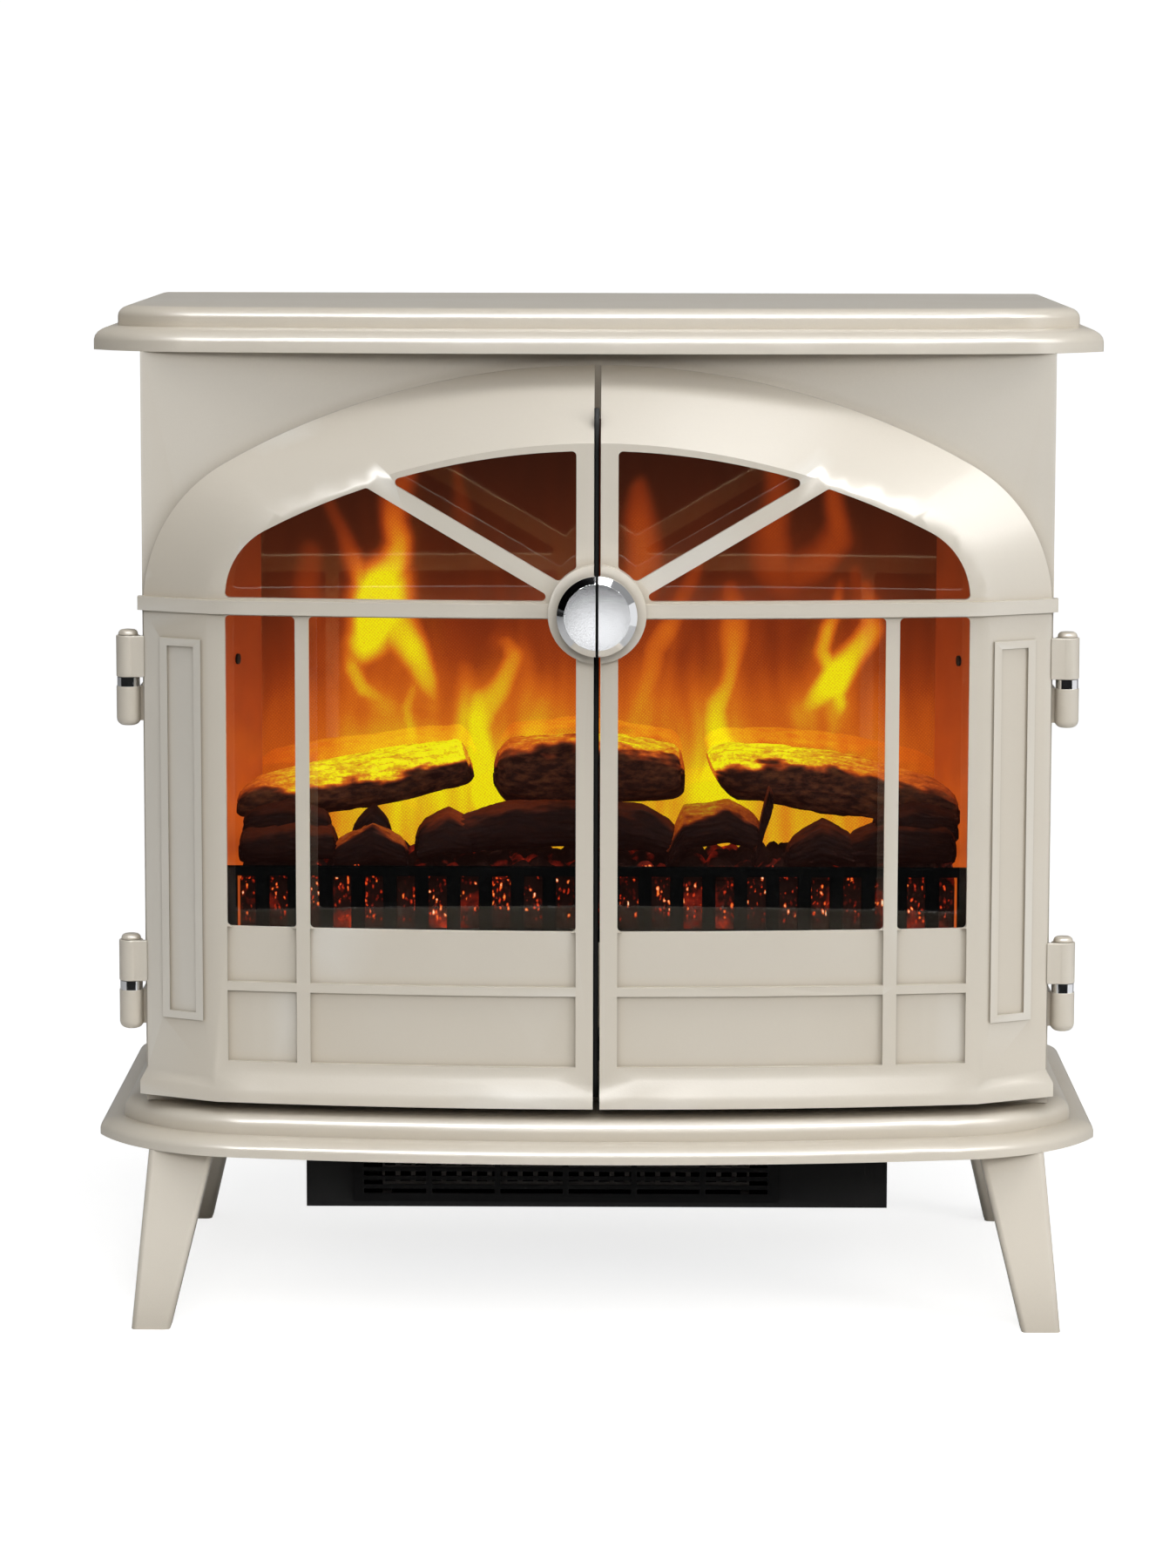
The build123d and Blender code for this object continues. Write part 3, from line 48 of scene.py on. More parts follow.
# ---------------------------------------------------------------- camera
# The stove is looked at from straight ahead and a little above, from about three and a
# half metres away with a long lens, so its uprights stay upright.

CAMERA_AT = (0.01682, -3.36083, 0.78475)
CAMERA_DOWN = 0.1311
CAMERA_TURN = 0.00705
CAMERA_TILT = 0.00205
LENS = 113.74

camera_data = bpy.data.cameras.new("studio_camera")
camera_data.lens = LENS
camera = bpy.data.objects.new("studio_camera", camera_data)
camera.matrix_world = (
    Matrix.Translation(CAMERA_AT)
    @ Matrix.Rotation(CAMERA_TURN, 4, "Z")
    @ Matrix.Rotation(math.pi / 2 - CAMERA_DOWN, 4, "X")
    @ Matrix.Rotation(CAMERA_TILT, 4, "Z")
)
bpy.context.scene.collection.objects.link(camera)
bpy.context.scene.camera = camera
bpy.context.scene.view_settings.view_transform = "Standard"


# ---------------------------------------------------------------- studio
# A plain pale paper sweep under soft boxes. The main box hangs high, so the top plate throws
# a soft shade on the casing under it. A broad one stands in front, a weaker one fills from
# the right, and two more only put a shine on the paint.

def node(tree, kind, inputs=None, **settings):
    """Adds a shader node, sets it up, and links or fills its inputs."""
    made = tree.nodes.new(kind)
    for name, value in settings.items():
        setattr(made, name, value)
    for name, value in (inputs or {}).items():
        if isinstance(value, bpy.types.NodeSocket):
            tree.links.new(value, made.inputs[name])
        else:
            made.inputs[name].default_value = value
    return made


def new_material(name, plain):
    """A material with a Principled shader whose plain values are set on its own sockets."""
    material = bpy.data.materials.new(name)
    material.use_nodes = True
    shader = material.node_tree.nodes["Principled BSDF"]
    for socket, value in plain.items():
        shader.inputs[socket].default_value = value
    return material, material.node_tree, shader


def mesh_piece(name, points, faces, material, smooth=True):
    """A mesh object made from points and faces in metres, in the stove's own frame."""
    mesh = bpy.data.meshes.new(name)
    mesh.from_pydata([tuple(p) for p in points], [], [tuple(f) for f in faces])
    mesh.update()
    if smooth:
        mesh.polygons.foreach_set("use_smooth", [True] * len(mesh.polygons))
    mesh.materials.append(material)
    piece = bpy.data.objects.new(name, mesh)
    bpy.context.scene.collection.objects.link(piece)
    return piece


SWEEP_HALF = 6.0
SWEEP_FRONT = -0.95
SWEEP_BACK = 3.4
SWEEP_CURVE = 1.2               # radius where the floor turns up into the wall
SWEEP_HIGH = 5.0
PAPER = (0.66, 0.66, 0.66, 1)
PAPER_LIFT = 0.74               # raises the paper to white where the camera sees it

paper, tree, shader = new_material("studio_paper", {
    "Roughness": 0.9, "Base Color": PAPER, "Emission Color": (1, 1, 1, 1)})
seen = node(tree, "ShaderNodeLightPath").outputs["Is Camera Ray"]
lift = node(tree, "ShaderNodeMath", {0: seen, 1: PAPER_LIFT}, operation="MULTIPLY")
tree.links.new(lift.outputs[0], shader.inputs["Emission Strength"])
fibre = node(tree, "ShaderNodeTexNoise", {"Scale": 900.0, "Detail": 3.0})
fibre_bump = node(tree, "ShaderNodeBump", {
    "Strength": 0.05, "Distance": 0.0004, "Height": fibre.outputs["Fac"]})
tree.links.new(fibre_bump.outputs["Normal"], shader.inputs["Normal"])
sweep_line = [(SWEEP_FRONT, 0.0), (SWEEP_BACK - SWEEP_CURVE, 0.0)]
for step in range(1, 13):
    turn = step / 12 * math.pi / 2
    sweep_line.append((SWEEP_BACK - SWEEP_CURVE + SWEEP_CURVE * math.sin(turn),
                       SWEEP_CURVE * (1 - math.cos(turn))))
sweep_line.append((SWEEP_BACK, SWEEP_HIGH))
sweep_points = [(x, y, z) for y, z in sweep_line for x in (-SWEEP_HALF, SWEEP_HALF)]
sweep_faces = [(i, i + 1, i + 3, i + 2) for i in range(0, len(sweep_points) - 2, 2)]
mesh_piece("paper_sweep", sweep_points, sweep_faces, paper)

# the paper's near end is seen from other sides only, and throws no light back
NEAR_END = -6.0
near_paper = mesh_piece("near_paper", [
    (-SWEEP_HALF, NEAR_END, 0.0), (SWEEP_HALF, NEAR_END, 0.0),
    (SWEEP_HALF, SWEEP_FRONT, 0.0), (-SWEEP_HALF, SWEEP_FRONT, 0.0)], [(0, 1, 2, 3)], paper)
near_paper.visible_glossy = False
near_paper.visible_diffuse = False
near_paper.visible_transmission = False

world = bpy.data.worlds.new("studio")
world.use_nodes = True
bpy.context.scene.world = world
tree = world.node_tree
sky = node(tree, "ShaderNodeTexCoord").outputs["Generated"]
height = node(tree, "ShaderNodeSeparateXYZ", {"Vector": sky}).outputs["Z"]
horizon = node(tree, "ShaderNodeMapRange", {
    "Value": height, "From Min": 0.02, "From Max": 0.35, "To Min": 0.015, "To Max": 0.30})
tree.links.new(horizon.outputs["Result"], tree.nodes["Background"].inputs["Strength"])
tree.nodes["Background"].inputs["Color"].default_value = (1, 1, 1, 1)


def soft_box(name, at, aim, size, watts, lights_matt=True):
    """A rectangular studio light at one point that faces another."""
    data = bpy.data.lights.new(name, "AREA")
    data.shape = "RECTANGLE"
    data.size, data.size_y = size
    data.energy = watts
    box = bpy.data.objects.new(name, data)
    box.location = at
    box.rotation_euler = (Vector(aim) - Vector(at)).to_track_quat("-Z", "Y").to_euler()
    box.visible_diffuse = lights_matt
    bpy.context.scene.collection.objects.link(box)


soft_box("main_box", (0.2, -0.75, 2.95), (0, -0.1, 0.4), (2.0, 0.7), 24)
soft_box("front_box", (0.3, -3.9, 1.75), (0, -0.1, 0.3), (2.2, 1.0), 48)
soft_box("right_box", (2.4, -1.7, 0.95), (0, -0.1, 0.4), (0.9, 1.5), 17)
soft_box("gloss_box", (0.1, -2.0, 2.3), (0, -0.1, 0.4), (3.2, 0.9), 260, lights_matt=False)
soft_box("right_gloss_box", (1.9, -1.2, 1.9), (0.2, -0.1, 0.4), (0.8, 1.2), 25, lights_matt=False)


# ---------------------------------------------------------------- cream powder coat
# Top plate, base, casing, doors and legs: sheet and cast iron with a satin cream powder
# coat. It has a faint orange peel, drifts a little in tone, is rubbed on its edges and darker
# in its creases, and carries painted shade where other parts close it in.

CREAM = (0.790, 0.727, 0.622, 1)
CREAM_LIGHT = (0.86, 0.82, 0.74, 1)
CREAM_DEEP = (0.69, 0.61, 0.49, 1)
# colour the painted shade darkens towards, where other parts are close
CREAM_PAINTED_SHADE = (0.33, 0.28, 0.21, 1)


def new_group(name, takes, gives):
    """An empty shader node group with named inputs and outputs."""
    group = bpy.data.node_groups.new(name, "ShaderNodeTree")
    kinds = {float: "NodeSocketFloat", tuple: "NodeSocketColor"}
    for label, value in takes.items():
        socket = group.interface.new_socket(label, in_out="INPUT", socket_type=kinds[type(value)])
        socket.default_value = value
    for label, kind in gives.items():
        group.interface.new_socket(label, in_out="OUTPUT", socket_type=kinds[kind])
    return group, group.nodes.new("NodeGroupInput").outputs, group.nodes.new("NodeGroupOutput").inputs


def blend_colours(tree, share, first, second):
    """The colour socket of a mix between two colours or colour sockets."""
    mix = tree.nodes.new("ShaderNodeMix")
    mix.data_type = "RGBA"
    for index, value in ((0, share), (6, first), (7, second)):
        if isinstance(value, bpy.types.NodeSocket):
            tree.links.new(value, mix.inputs[index])
        else:
            mix.inputs[index].default_value = value
    return mix.outputs[2]


def arithmetic(tree, operation, *values):
    """The output socket of a Math node."""
    made = tree.nodes.new("ShaderNodeMath")
    made.operation = operation
    for index, value in enumerate(values):
        if isinstance(value, bpy.types.NodeSocket):
            tree.links.new(value, made.inputs[index])
        else:
            made.inputs[index].default_value = value
    return made.outputs[0]


def stretch(tree, value, low, high, to_low=0.0, to_high=1.0):
    """A value's range stretched onto another, and held inside it."""
    made = node(tree, "ShaderNodeMapRange", {
        "Value": value, "From Min": low, "From Max": high, "To Min": to_low, "To Max": to_high})
    return made.outputs["Result"]


def coat_group():
    """Shared by every painted surface: tone drift, rubbed edges, darker creases, painted shade near other
    parts, orange peel.
    """
    takes = {"Colour": CREAM, "Rubbed": CREAM_LIGHT, "Deep Tone": CREAM_DEEP, "Painted Shade": CREAM_PAINTED_SHADE,
             "Sheen": 0.4, "Peel": 700.0}
    gives = {"Colour": tuple, "Roughness": float, "Height": float}
    group, given, out = new_group("coat_and_painted_shade", takes, gives)
    place = node(group, "ShaderNodeTexCoord").outputs["Object"]
    drift = node(group, "ShaderNodeTexNoise", {"Vector": place, "Scale": 5.0, "Detail": 3.0})
    peel = node(group, "ShaderNodeTexNoise", {"Vector": place, "Scale": given["Peel"], "Detail": 2.0})
    specks = node(group, "ShaderNodeTexNoise", {"Vector": place, "Scale": 2600.0, "Detail": 1.0})
    edge = node(group, "ShaderNodeNewGeometry").outputs["Pointiness"]
    tone = stretch(group, drift.outputs["Fac"], 0.35, 0.7, 0.0, 0.35)
    colour = blend_colours(group, tone, given["Colour"], given["Deep Tone"])
    colour = blend_colours(group, stretch(group, edge, 0.52, 0.62, 0.0, 0.7), colour, given["Rubbed"])
    # concave creases are made darker
    colour = blend_colours(group, stretch(group, edge, 0.48, 0.40, 0.0, 0.45), colour, given["Deep Tone"])
    specked = stretch(group, specks.outputs["Fac"], 0.62, 0.75, 0.0, 0.10)
    colour = blend_colours(group, specked, colour, given["Deep Tone"])
    # painted shade: within 65 mm of other parts the colour is darkened towards the shade colour, as under
    # the top plate and beside the doors
    painted_shade_mask = node(group, "ShaderNodeAmbientOcclusion", {"Distance": 0.065}, samples=6).outputs["AO"]
    colour = blend_colours(group, stretch(group, painted_shade_mask, 0.92, 0.30, 0.0, 0.80), colour, given["Painted Shade"])
    group.links.new(colour, out["Colour"])
    gloss_drift = stretch(group, drift.outputs["Fac"], 0.3, 0.7, -0.05, 0.06)
    gloss = arithmetic(group, "ADD", given["Sheen"], gloss_drift)
    group.links.new(gloss, out["Roughness"])
    low_specks = arithmetic(group, "MULTIPLY", specks.outputs["Fac"], 0.3)
    height = arithmetic(group, "ADD", peel.outputs["Fac"], low_specks)
    group.links.new(height, out["Height"])
    return group


coat_and_painted_shade = coat_group()


def coated(name, colour, rubbed, deep_tone, sheen, peel, bump, plain, painted_shade=(0.001, 0.001, 0.001, 1)):
    """A painted material from the shared coat."""
    material, tree, shader = new_material(name, plain)
    coat = node(tree, "ShaderNodeGroup", node_tree=coat_and_painted_shade)
    for socket, value in (("Colour", colour), ("Rubbed", rubbed), ("Deep Tone", deep_tone),
                          ("Painted Shade", painted_shade), ("Sheen", sheen), ("Peel", peel)):
        coat.inputs[socket].default_value = value
    relief = node(tree, "ShaderNodeBump", {
        "Strength": bump, "Distance": 0.0003, "Height": coat.outputs["Height"]})
    tree.links.new(coat.outputs["Colour"], shader.inputs["Base Color"])
    tree.links.new(coat.outputs["Roughness"], shader.inputs["Roughness"])
    tree.links.new(relief.outputs["Normal"], shader.inputs["Normal"])
    return material


cream = coated("cream_powder_coat", CREAM, CREAM_LIGHT, CREAM_DEEP, 0.34, 700.0, 0.10,
               {"Coat Weight": 0.30, "Coat Roughness": 0.16}, CREAM_PAINTED_SHADE)


def dress(material, *names):
    """Gives CAD pieces their material."""
    for name in names:
        piece = nodes[name]
        piece.data.materials.clear()
        piece.data.materials.append(material)


def soften(name, width, angle=38.0, segments=2):
    """Rounds a CAD piece's sharp edges with modifiers, as paint and casting do."""
    piece = nodes[name]
    weld = piece.modifiers.new("join_edges", "WELD")
    weld.merge_threshold = 0.00001
    bevel = piece.modifiers.new("rounded_edges", "BEVEL")
    bevel.width = width
    bevel.segments = segments
    bevel.limit_method = "ANGLE"
    bevel.angle_limit = math.radians(angle)
    bevel.use_clamp_overlap = True
    bevel.miter_outer = "MITER_ARC"
    shade = piece.modifiers.new("even_shading", "WEIGHTED_NORMAL")
    shade.keep_sharp = False
    piece.data.polygons.foreach_set("use_smooth", [True] * len(piece.data.polygons))


CREAM_PIECES = [
    "top_plate", "top_liner", "base_plate", "front_base_pan", "rear_base_pan", "left_side_panel",
    "right_side_panel", "fascia", "left_door", "right_door", "front_left_leg", "front_right_leg",
    "rear_left_leg", "rear_right_leg", "hinge_brackets", "left_hinge_leaves", "right_hinge_leaves",
]
dress(cream, *CREAM_PIECES)
for door in ("left_door", "right_door"):
    soften(door, 0.9 * MM)
for plate in ("top_plate", "base_plate", "hinge_brackets", "left_hinge_leaves", "right_hinge_leaves"):
    soften(plate, 0.6 * MM)
for leg in ("front_left_leg", "front_right_leg", "rear_left_leg", "rear_right_leg"):
    soften(leg, 0.8 * MM)


# ---------------------------------------------------------------- chrome knob and hinge washers
# The two knob halves are die castings with a bright chrome plate. The hinge washers are
# turned and plated the same way, and the pins are painted with the doors.

chrome, tree, shader = new_material("chrome_plate", {"Metallic": 1.0, "Base Color": (0.86, 0.87, 0.89, 1)})
haze = node(tree, "ShaderNodeTexNoise", {"Scale": 60.0, "Detail": 4.0})
tree.links.new(stretch(tree, haze.outputs["Fac"], 0.3, 0.75, 0.03, 0.11), shader.inputs["Roughness"])
ripple = node(tree, "ShaderNodeBump", {"Strength": 0.03, "Distance": 0.0002, "Height": haze.outputs["Fac"]})
tree.links.new(ripple.outputs["Normal"], shader.inputs["Normal"])
dress(chrome, "left_knob", "right_knob", "hinge_washers")
dress(cream, "hinge_pins")
for knob in ("left_knob", "right_knob"):
    soften(knob, 0.5 * MM, 30.0, 3)


def reflector(name, points, strength):
    """A card that only mirror-bright surfaces pick up, as set round chrome in a studio."""
    material = bpy.data.materials.new(name)
    material.use_nodes = True
    glowing = material.node_tree.nodes["Principled BSDF"]
    glowing.inputs["Base Color"].default_value = (0, 0, 0, 1)
    glowing.inputs["Specular IOR Level"].default_value = 0.0
    glowing.inputs["Emission Color"].default_value = (1, 1, 1, 1)
    glowing.inputs["Emission Strength"].default_value = strength
    card = mesh_piece(name, points, [tuple(range(len(points)))], material, smooth=False)
    for ray in ("visible_camera", "visible_diffuse", "visible_shadow", "visible_transmission"):
        setattr(card, ray, False)


# a small white card with a notched top faces the knob's flat; one to the right catches its
# sloping rim, and a black one overhead to the left keeps that side dark
CARD_MIDDLE = (-0.010, -2.0, 0.2977)
CARD_REACH = 0.0345
NOTCHED = [(-1.25, -1.25), (1.25, -1.25), (1.25, 0.66), (0.74, 0.62), (0.56, 0.45), (0.55, 0.15),
           (0.47, -0.08), (0.36, 0.12), (0.28, 0.38), (0.16, 0.66), (0.03, 0.86), (-0.02, -0.2),
           (-0.08, 0.66), (-0.2, 0.72), (-0.5, 0.60), (-0.78, 0.36), (-0.95, 0.05), (-1.25, -0.3)]
knob_card_outline = [
    (CARD_MIDDLE[0] + CARD_REACH * u, CARD_MIDDLE[1], CARD_MIDDLE[2] + CARD_REACH * v) for u, v in NOTCHED]
reflector("knob_card", knob_card_outline, 1.3)
right_rim_outline = [(1.4, -1.0, -0.3), (1.4, 0.5, -0.3), (1.4, 0.5, 0.9), (1.4, -1.0, 0.9)]
reflector("right_rim_card", right_rim_outline, 0.85)
dark_outline = [(-1.2, -1.4, 0.6), (-1.2, 0.6, 0.6), (-0.1, 0.6, 1.6), (-0.1, -0.52, 1.6)]
reflector("dark_card", dark_outline, 0.0)


# ---------------------------------------------------------------- black sheet parts
# Firebox ceiling, fire shelf, rear cover, heater case and its grille: folded sheet with a
# matt black heat-proof coat that shows grey where it is rubbed. The firebox screws match.

black = coated("black_heat_coat", (0.006, 0.006, 0.0065, 1), (0.03, 0.03, 0.03, 1),
               (0.003, 0.003, 0.003, 1), 0.6, 1100.0, 0.3, {"Specular IOR Level": 0.08})
dress(black, "rear_cover", "fire_shelf", "firebox_ceiling", "heater_case", "outlet_grille", "wall_screws")


# ---------------------------------------------------------------- plated and plastic fittings
# Screws, clips, strikes and motor cases are zinc-plated steel. The switches, dial, catch
# and bushes are moulded black plastic, and the boards are lacquered glass fibre.

zinc, tree, shader = new_material("zinc_plate", {"Metallic": 1.0})
crystal = node(tree, "ShaderNodeTexVoronoi", {"Scale": 900.0})
streak = node(tree, "ShaderNodeTexNoise", {"Scale": 140.0, "Detail": 4.0})
zinc_tone = blend_colours(tree, stretch(tree, streak.outputs["Fac"], 0.3, 0.7),
                          (0.42, 0.43, 0.45, 1), (0.66, 0.66, 0.65, 1))
tree.links.new(zinc_tone, shader.inputs["Base Color"])
tree.links.new(stretch(tree, crystal.outputs["Distance"], 0.0, 0.6, 0.28, 0.46), shader.inputs["Roughness"])
dress(zinc, "leg_nuts", "rear_screws", "panel_screws", "glass_clips", "left_strike", "right_strike",
      "rotor_motor", "blower_motor", "thermal_cutout")

plastic = coated("black_plastic", (0.018, 0.018, 0.02, 1), (0.05, 0.05, 0.052, 1), (0.01, 0.01, 0.011, 1),
                 0.46, 1500.0, 0.4, {})
dress(plastic, "magnetic_catch", "control_panel", "fire_rocker", "low_heat_rocker", "high_heat_rocker",
      "thermostat_dial", "rotor_bearing", "blower_bush", "cable_gland")

board, tree, shader = new_material("circuit_board", {"Roughness": 0.35})
tracks = node(tree, "ShaderNodeTexVoronoi", {"Scale": 260.0}, distance="MANHATTAN", feature="F1")
track_tone = blend_colours(tree, stretch(tree, tracks.outputs["Distance"], 0.35, 0.4),
                           (0.02, 0.12, 0.05, 1), (0.05, 0.22, 0.10, 1))
tree.links.new(track_tone, shader.inputs["Base Color"])
dress(board, "ember_light_board", "flame_light_board", "main_board")

aluminium, tree, shader = new_material("bare_aluminium", {"Metallic": 1.0, "Roughness": 0.32})
rolled = node(tree, "ShaderNodeTexNoise", {"Scale": 300.0, "Detail": 3.0})
rolled_tone = blend_colours(tree, rolled.outputs["Fac"], (0.60, 0.61, 0.62, 1), (0.82, 0.82, 0.82, 1))
tree.links.new(rolled_tone, shader.inputs["Base Color"])
dress(aluminium, "blower_rotor", "flame_rotor")

# the heating element's finned block has browned with heat
element, tree, shader = new_material("browned_fins", {"Metallic": 1.0, "Roughness": 0.5})
bloom = node(tree, "ShaderNodeTexNoise", {"Scale": 40.0, "Detail": 4.0})
bloom_tone = blend_colours(tree, bloom.outputs["Fac"], (0.035, 0.032, 0.030, 1), (0.11, 0.10, 0.09, 1))
tree.links.new(bloom_tone, shader.inputs["Base Color"])
dress(element, "heating_element")


# ---------------------------------------------------------------- dark door gap
# A black strip along the left door's meeting edge fills the gap between the two doors, so no
# firelight shows through it; it stands in for the shade in that gap.

gap_shade_paint = coated("gap_shade_black", (0.008, 0.008, 0.008, 1), (0.03, 0.03, 0.03, 1), (0.004, 0.004, 0.004, 1),
                0.7, 1200.0, 0.4, {"Specular IOR Level": 0.2})


LIP_SET_BACK = 13 * MM          # behind the foremost point of the door
LIP_FOOT = 6 * MM
LIP_HEAD = 26 * MM
LIP_WIDE = 3.5 * MM
LIP_ROUND = 1.4 * MM
LIP_DEEP = 6.0 * MM


def gap_shade_lip():
    """A strip with a half-round front, from above the door's foot to under the arch."""
    low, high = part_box("left_door")
    edge_x = high.x
    front_y = low.y + LIP_SET_BACK
    points = []
    profile = [(0.0, LIP_DEEP)]
    for step in range(9):
        turn = step / 8 * math.pi
        profile.append((LIP_WIDE / 2 * (1 - math.cos(turn)), LIP_ROUND * (1 - math.sin(turn))))
    profile.append((LIP_WIDE, LIP_DEEP))
    levels = np.linspace(low.z + LIP_FOOT, high.z - LIP_HEAD, 40)
    for z in levels:
        for x, y in profile:
            points.append((edge_x + x, front_y + y, z))
    row = len(profile)
    faces = []
    for level in range(len(levels) - 1):
        for step in range(row):
            after = (step + 1) % row
            a = level * row
            faces.append((a + step, a + after, a + row + after, a + row + step))
    faces.append(tuple(range(row))[::-1])
    faces.append(tuple(range(len(points) - row, len(points))))
    return mesh_piece("door_gap_shade", points, faces, gap_shade_paint)


gap_shade = gap_shade_lip()
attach(gap_shade, "left_door_body")


# ---------------------------------------------------------------- front glass
# One pane of clear toughened glass stands behind the doors. It lies on the back of the
# fascia, and small clips hold it there. Light passes it without a shadow.

glass, tree, shader = new_material("toughened_glass", {
    "Base Color": (0.95, 0.97, 0.96, 1), "Roughness": 0.0, "IOR": 1.5, "Transmission Weight": 1.0})
way = node(tree, "ShaderNodeLightPath")
clear = node(tree, "ShaderNodeBsdfTransparent")
choose = node(tree, "ShaderNodeMixShader", {
    0: way.outputs["Is Shadow Ray"], 1: shader.outputs[0], 2: clear.outputs[0]})
tree.links.new(choose.outputs[0], tree.nodes["Material Output"].inputs["Surface"])
dress(glass, "front_glass")


# ---------------------------------------------------------------- flame screen
# A part-mirrored acrylic sheet at the back of the fire. Light from behind paints slow
# flames on its frosted side; its front still mirrors the logs and the door bars.

FLAME_STEP = 2.0 * MM
# each tongue of flame: points of x, z, half width in millimetres, and heat
TONGUES = [
    [(-158, 440, 18, .90), (-154, 458, 19, .98), (-150, 474, 16, .96), (-142, 490, 12, .84),
     (-138, 505, 10, .78), (-140, 519, 9, .70), (-138, 535, 10, .56), (-132, 556, 9, .42),
     (-128, 580, 8, .30)],
    [(-156, 466, 12, .90), (-165, 482, 8, .70), (-172, 500, 7, .50), (-176, 520, 6, .38),
     (-184, 540, 5, .28)],
    [(-144, 470, 17, .95), (-138, 449, 18, .88), (-128, 430, 15, .94), (-118, 412, 10, .82),
     (-114, 400, 5, .68)],
    [(-160, 455, 12, .86), (-164, 440, 9, .80), (-162, 424, 5, .65)],
    [(-173, 434, 5, .6), (-168, 418, 8, .80), (-160, 404, 8, .82), (-146, 396, 6, .72)],
    [(-128, 405, 6, .72), (-131, 392, 6, .76), (-128, 374, 8, .78)],
    [(-76, 330, 20, 1.0), (-80, 360, 14, .98), (-82, 380, 12, .88), (-78, 395, 14, .84),
     (-66, 408, 13, .82), (-57, 424, 9, .74), (-62, 436, 6, .60), (-74, 443, 4, .44)],
    [(-88, 385, 8, .76), (-90, 405, 6, .68), (-92, 419, 4, .54)],
    [(-198, 498, 10, .34), (-199, 470, 11, .42), (-193, 450, 11, .44), (-190, 432, 8, .42)],
    [(-97, 552, 5, .26), (-94, 530, 7, .30), (-92, 512, 7, .24)],
    [(26, 542, 7, .38), (29, 520, 11, .50), (30, 500, 12, .53), (29, 480, 14, .52), (27, 458, 14, .48)],
    [(121, 562, 9, .38), (124, 540, 10, .42), (122, 525, 10, .46), (118, 510, 13, .48), (117, 492, 17, .45),
     (128, 475, 18, .36)],
    [(157, 552, 5, .42), (161, 535, 8, .48), (164, 520, 9, .50), (163, 507, 12, .48), (152, 494, 14, .47),
     (136, 486, 14, .44)],
    [(67, 494, 5, .40), (62, 478, 7, .46), (56, 464, 9, .50), (50, 450, 10, .52)],
    [(176, 482, 6, .36), (180, 462, 8, .40)],
    [(80, 335, 22, 1.0), (84, 360, 16, .98), (80, 378, 14, .92), (81, 392, 11, .86), (88, 410, 9, .78),
     (91, 425, 9, .74), (93, 440, 12, .70), (94, 455, 12, .62), (90, 472, 8, .48)],
    [(138, 390, 6, .68), (150, 401, 10, .88), (162, 412, 13, .96), (172, 424, 11, .94), (182, 436, 8, .86),
     (189, 448, 8, .76), (188, 462, 7, .60), (184, 474, 5, .44)],
    [(164, 386, 6, .70), (166, 398, 9, .88), (160, 412, 10, .92), (151, 430, 8, .80), (156, 445, 8, .80),
     (162, 457, 7, .66), (165, 472, 5, .46)],
    [(20, 374, 9, .72), (30, 395, 12, .72), (36, 415, 11, .68), (38, 432, 9, .64), (46, 446, 10, .66),
     (54, 458, 8, .54)],
    [(-30, 350, 20, .90), (-44, 372, 18, .82), (-40, 392, 12, .72)],
    [(-150, 345, 26, .84), (-110, 350, 24, .84)],
]
# height above the floor in millimetres against the heat of the plain glow behind the flames
GLOW = [(233, .88), (335, .84), (365, .78), (395, .68), (425, .52), (455, .40), (485, .25), (515, .20),
        (545, .13), (612, .03)]
GLOW_FADE = 60.0
GLOW_SIDE = 0.22
WISP_SEED = 7                   # keeps the wisps of the flames the same every time


def flame_heat(x, z):
    """Heat of the painted flames at points given in millimetres."""
    warp = np.array([noise.noise_vector(Vector((a / 26, 0.0, b / 42))) for a, b in zip(x, z)])
    x = x + 4.5 * warp[:, 0]
    z = z + 7.0 * warp[:, 2]
    plain = np.interp(z, *zip(*GLOW))
    side = np.clip((np.abs(x) - 170) / GLOW_FADE, 0, 1)
    plain = plain * (1 - GLOW_SIDE * side)
    streaks = np.array([noise.noise(Vector((a / 9, 3.0, b / 60))) for a, b in zip(x, z)])
    heat = plain * (1 + 0.10 * streaks)
    for tongue in TONGUES:
        line = np.array(tongue, float)
        along = np.linspace(0, len(line) - 1, 12 * len(line))
        path = np.array([np.interp(along, range(len(line)), line[:, k]) for k in range(4)]).T
        best = np.zeros_like(heat)
        for px, pz, wide, hot in path:
            away = np.hypot(x - px, (z - pz) * 0.8) / wide
            best = np.maximum(best, hot * np.exp(-0.62 * away ** 2.6))
        heat = np.maximum(heat, best) + 0.10 * np.minimum(heat, best) * (best > 0.1)
    return np.clip(heat, 0, 1)


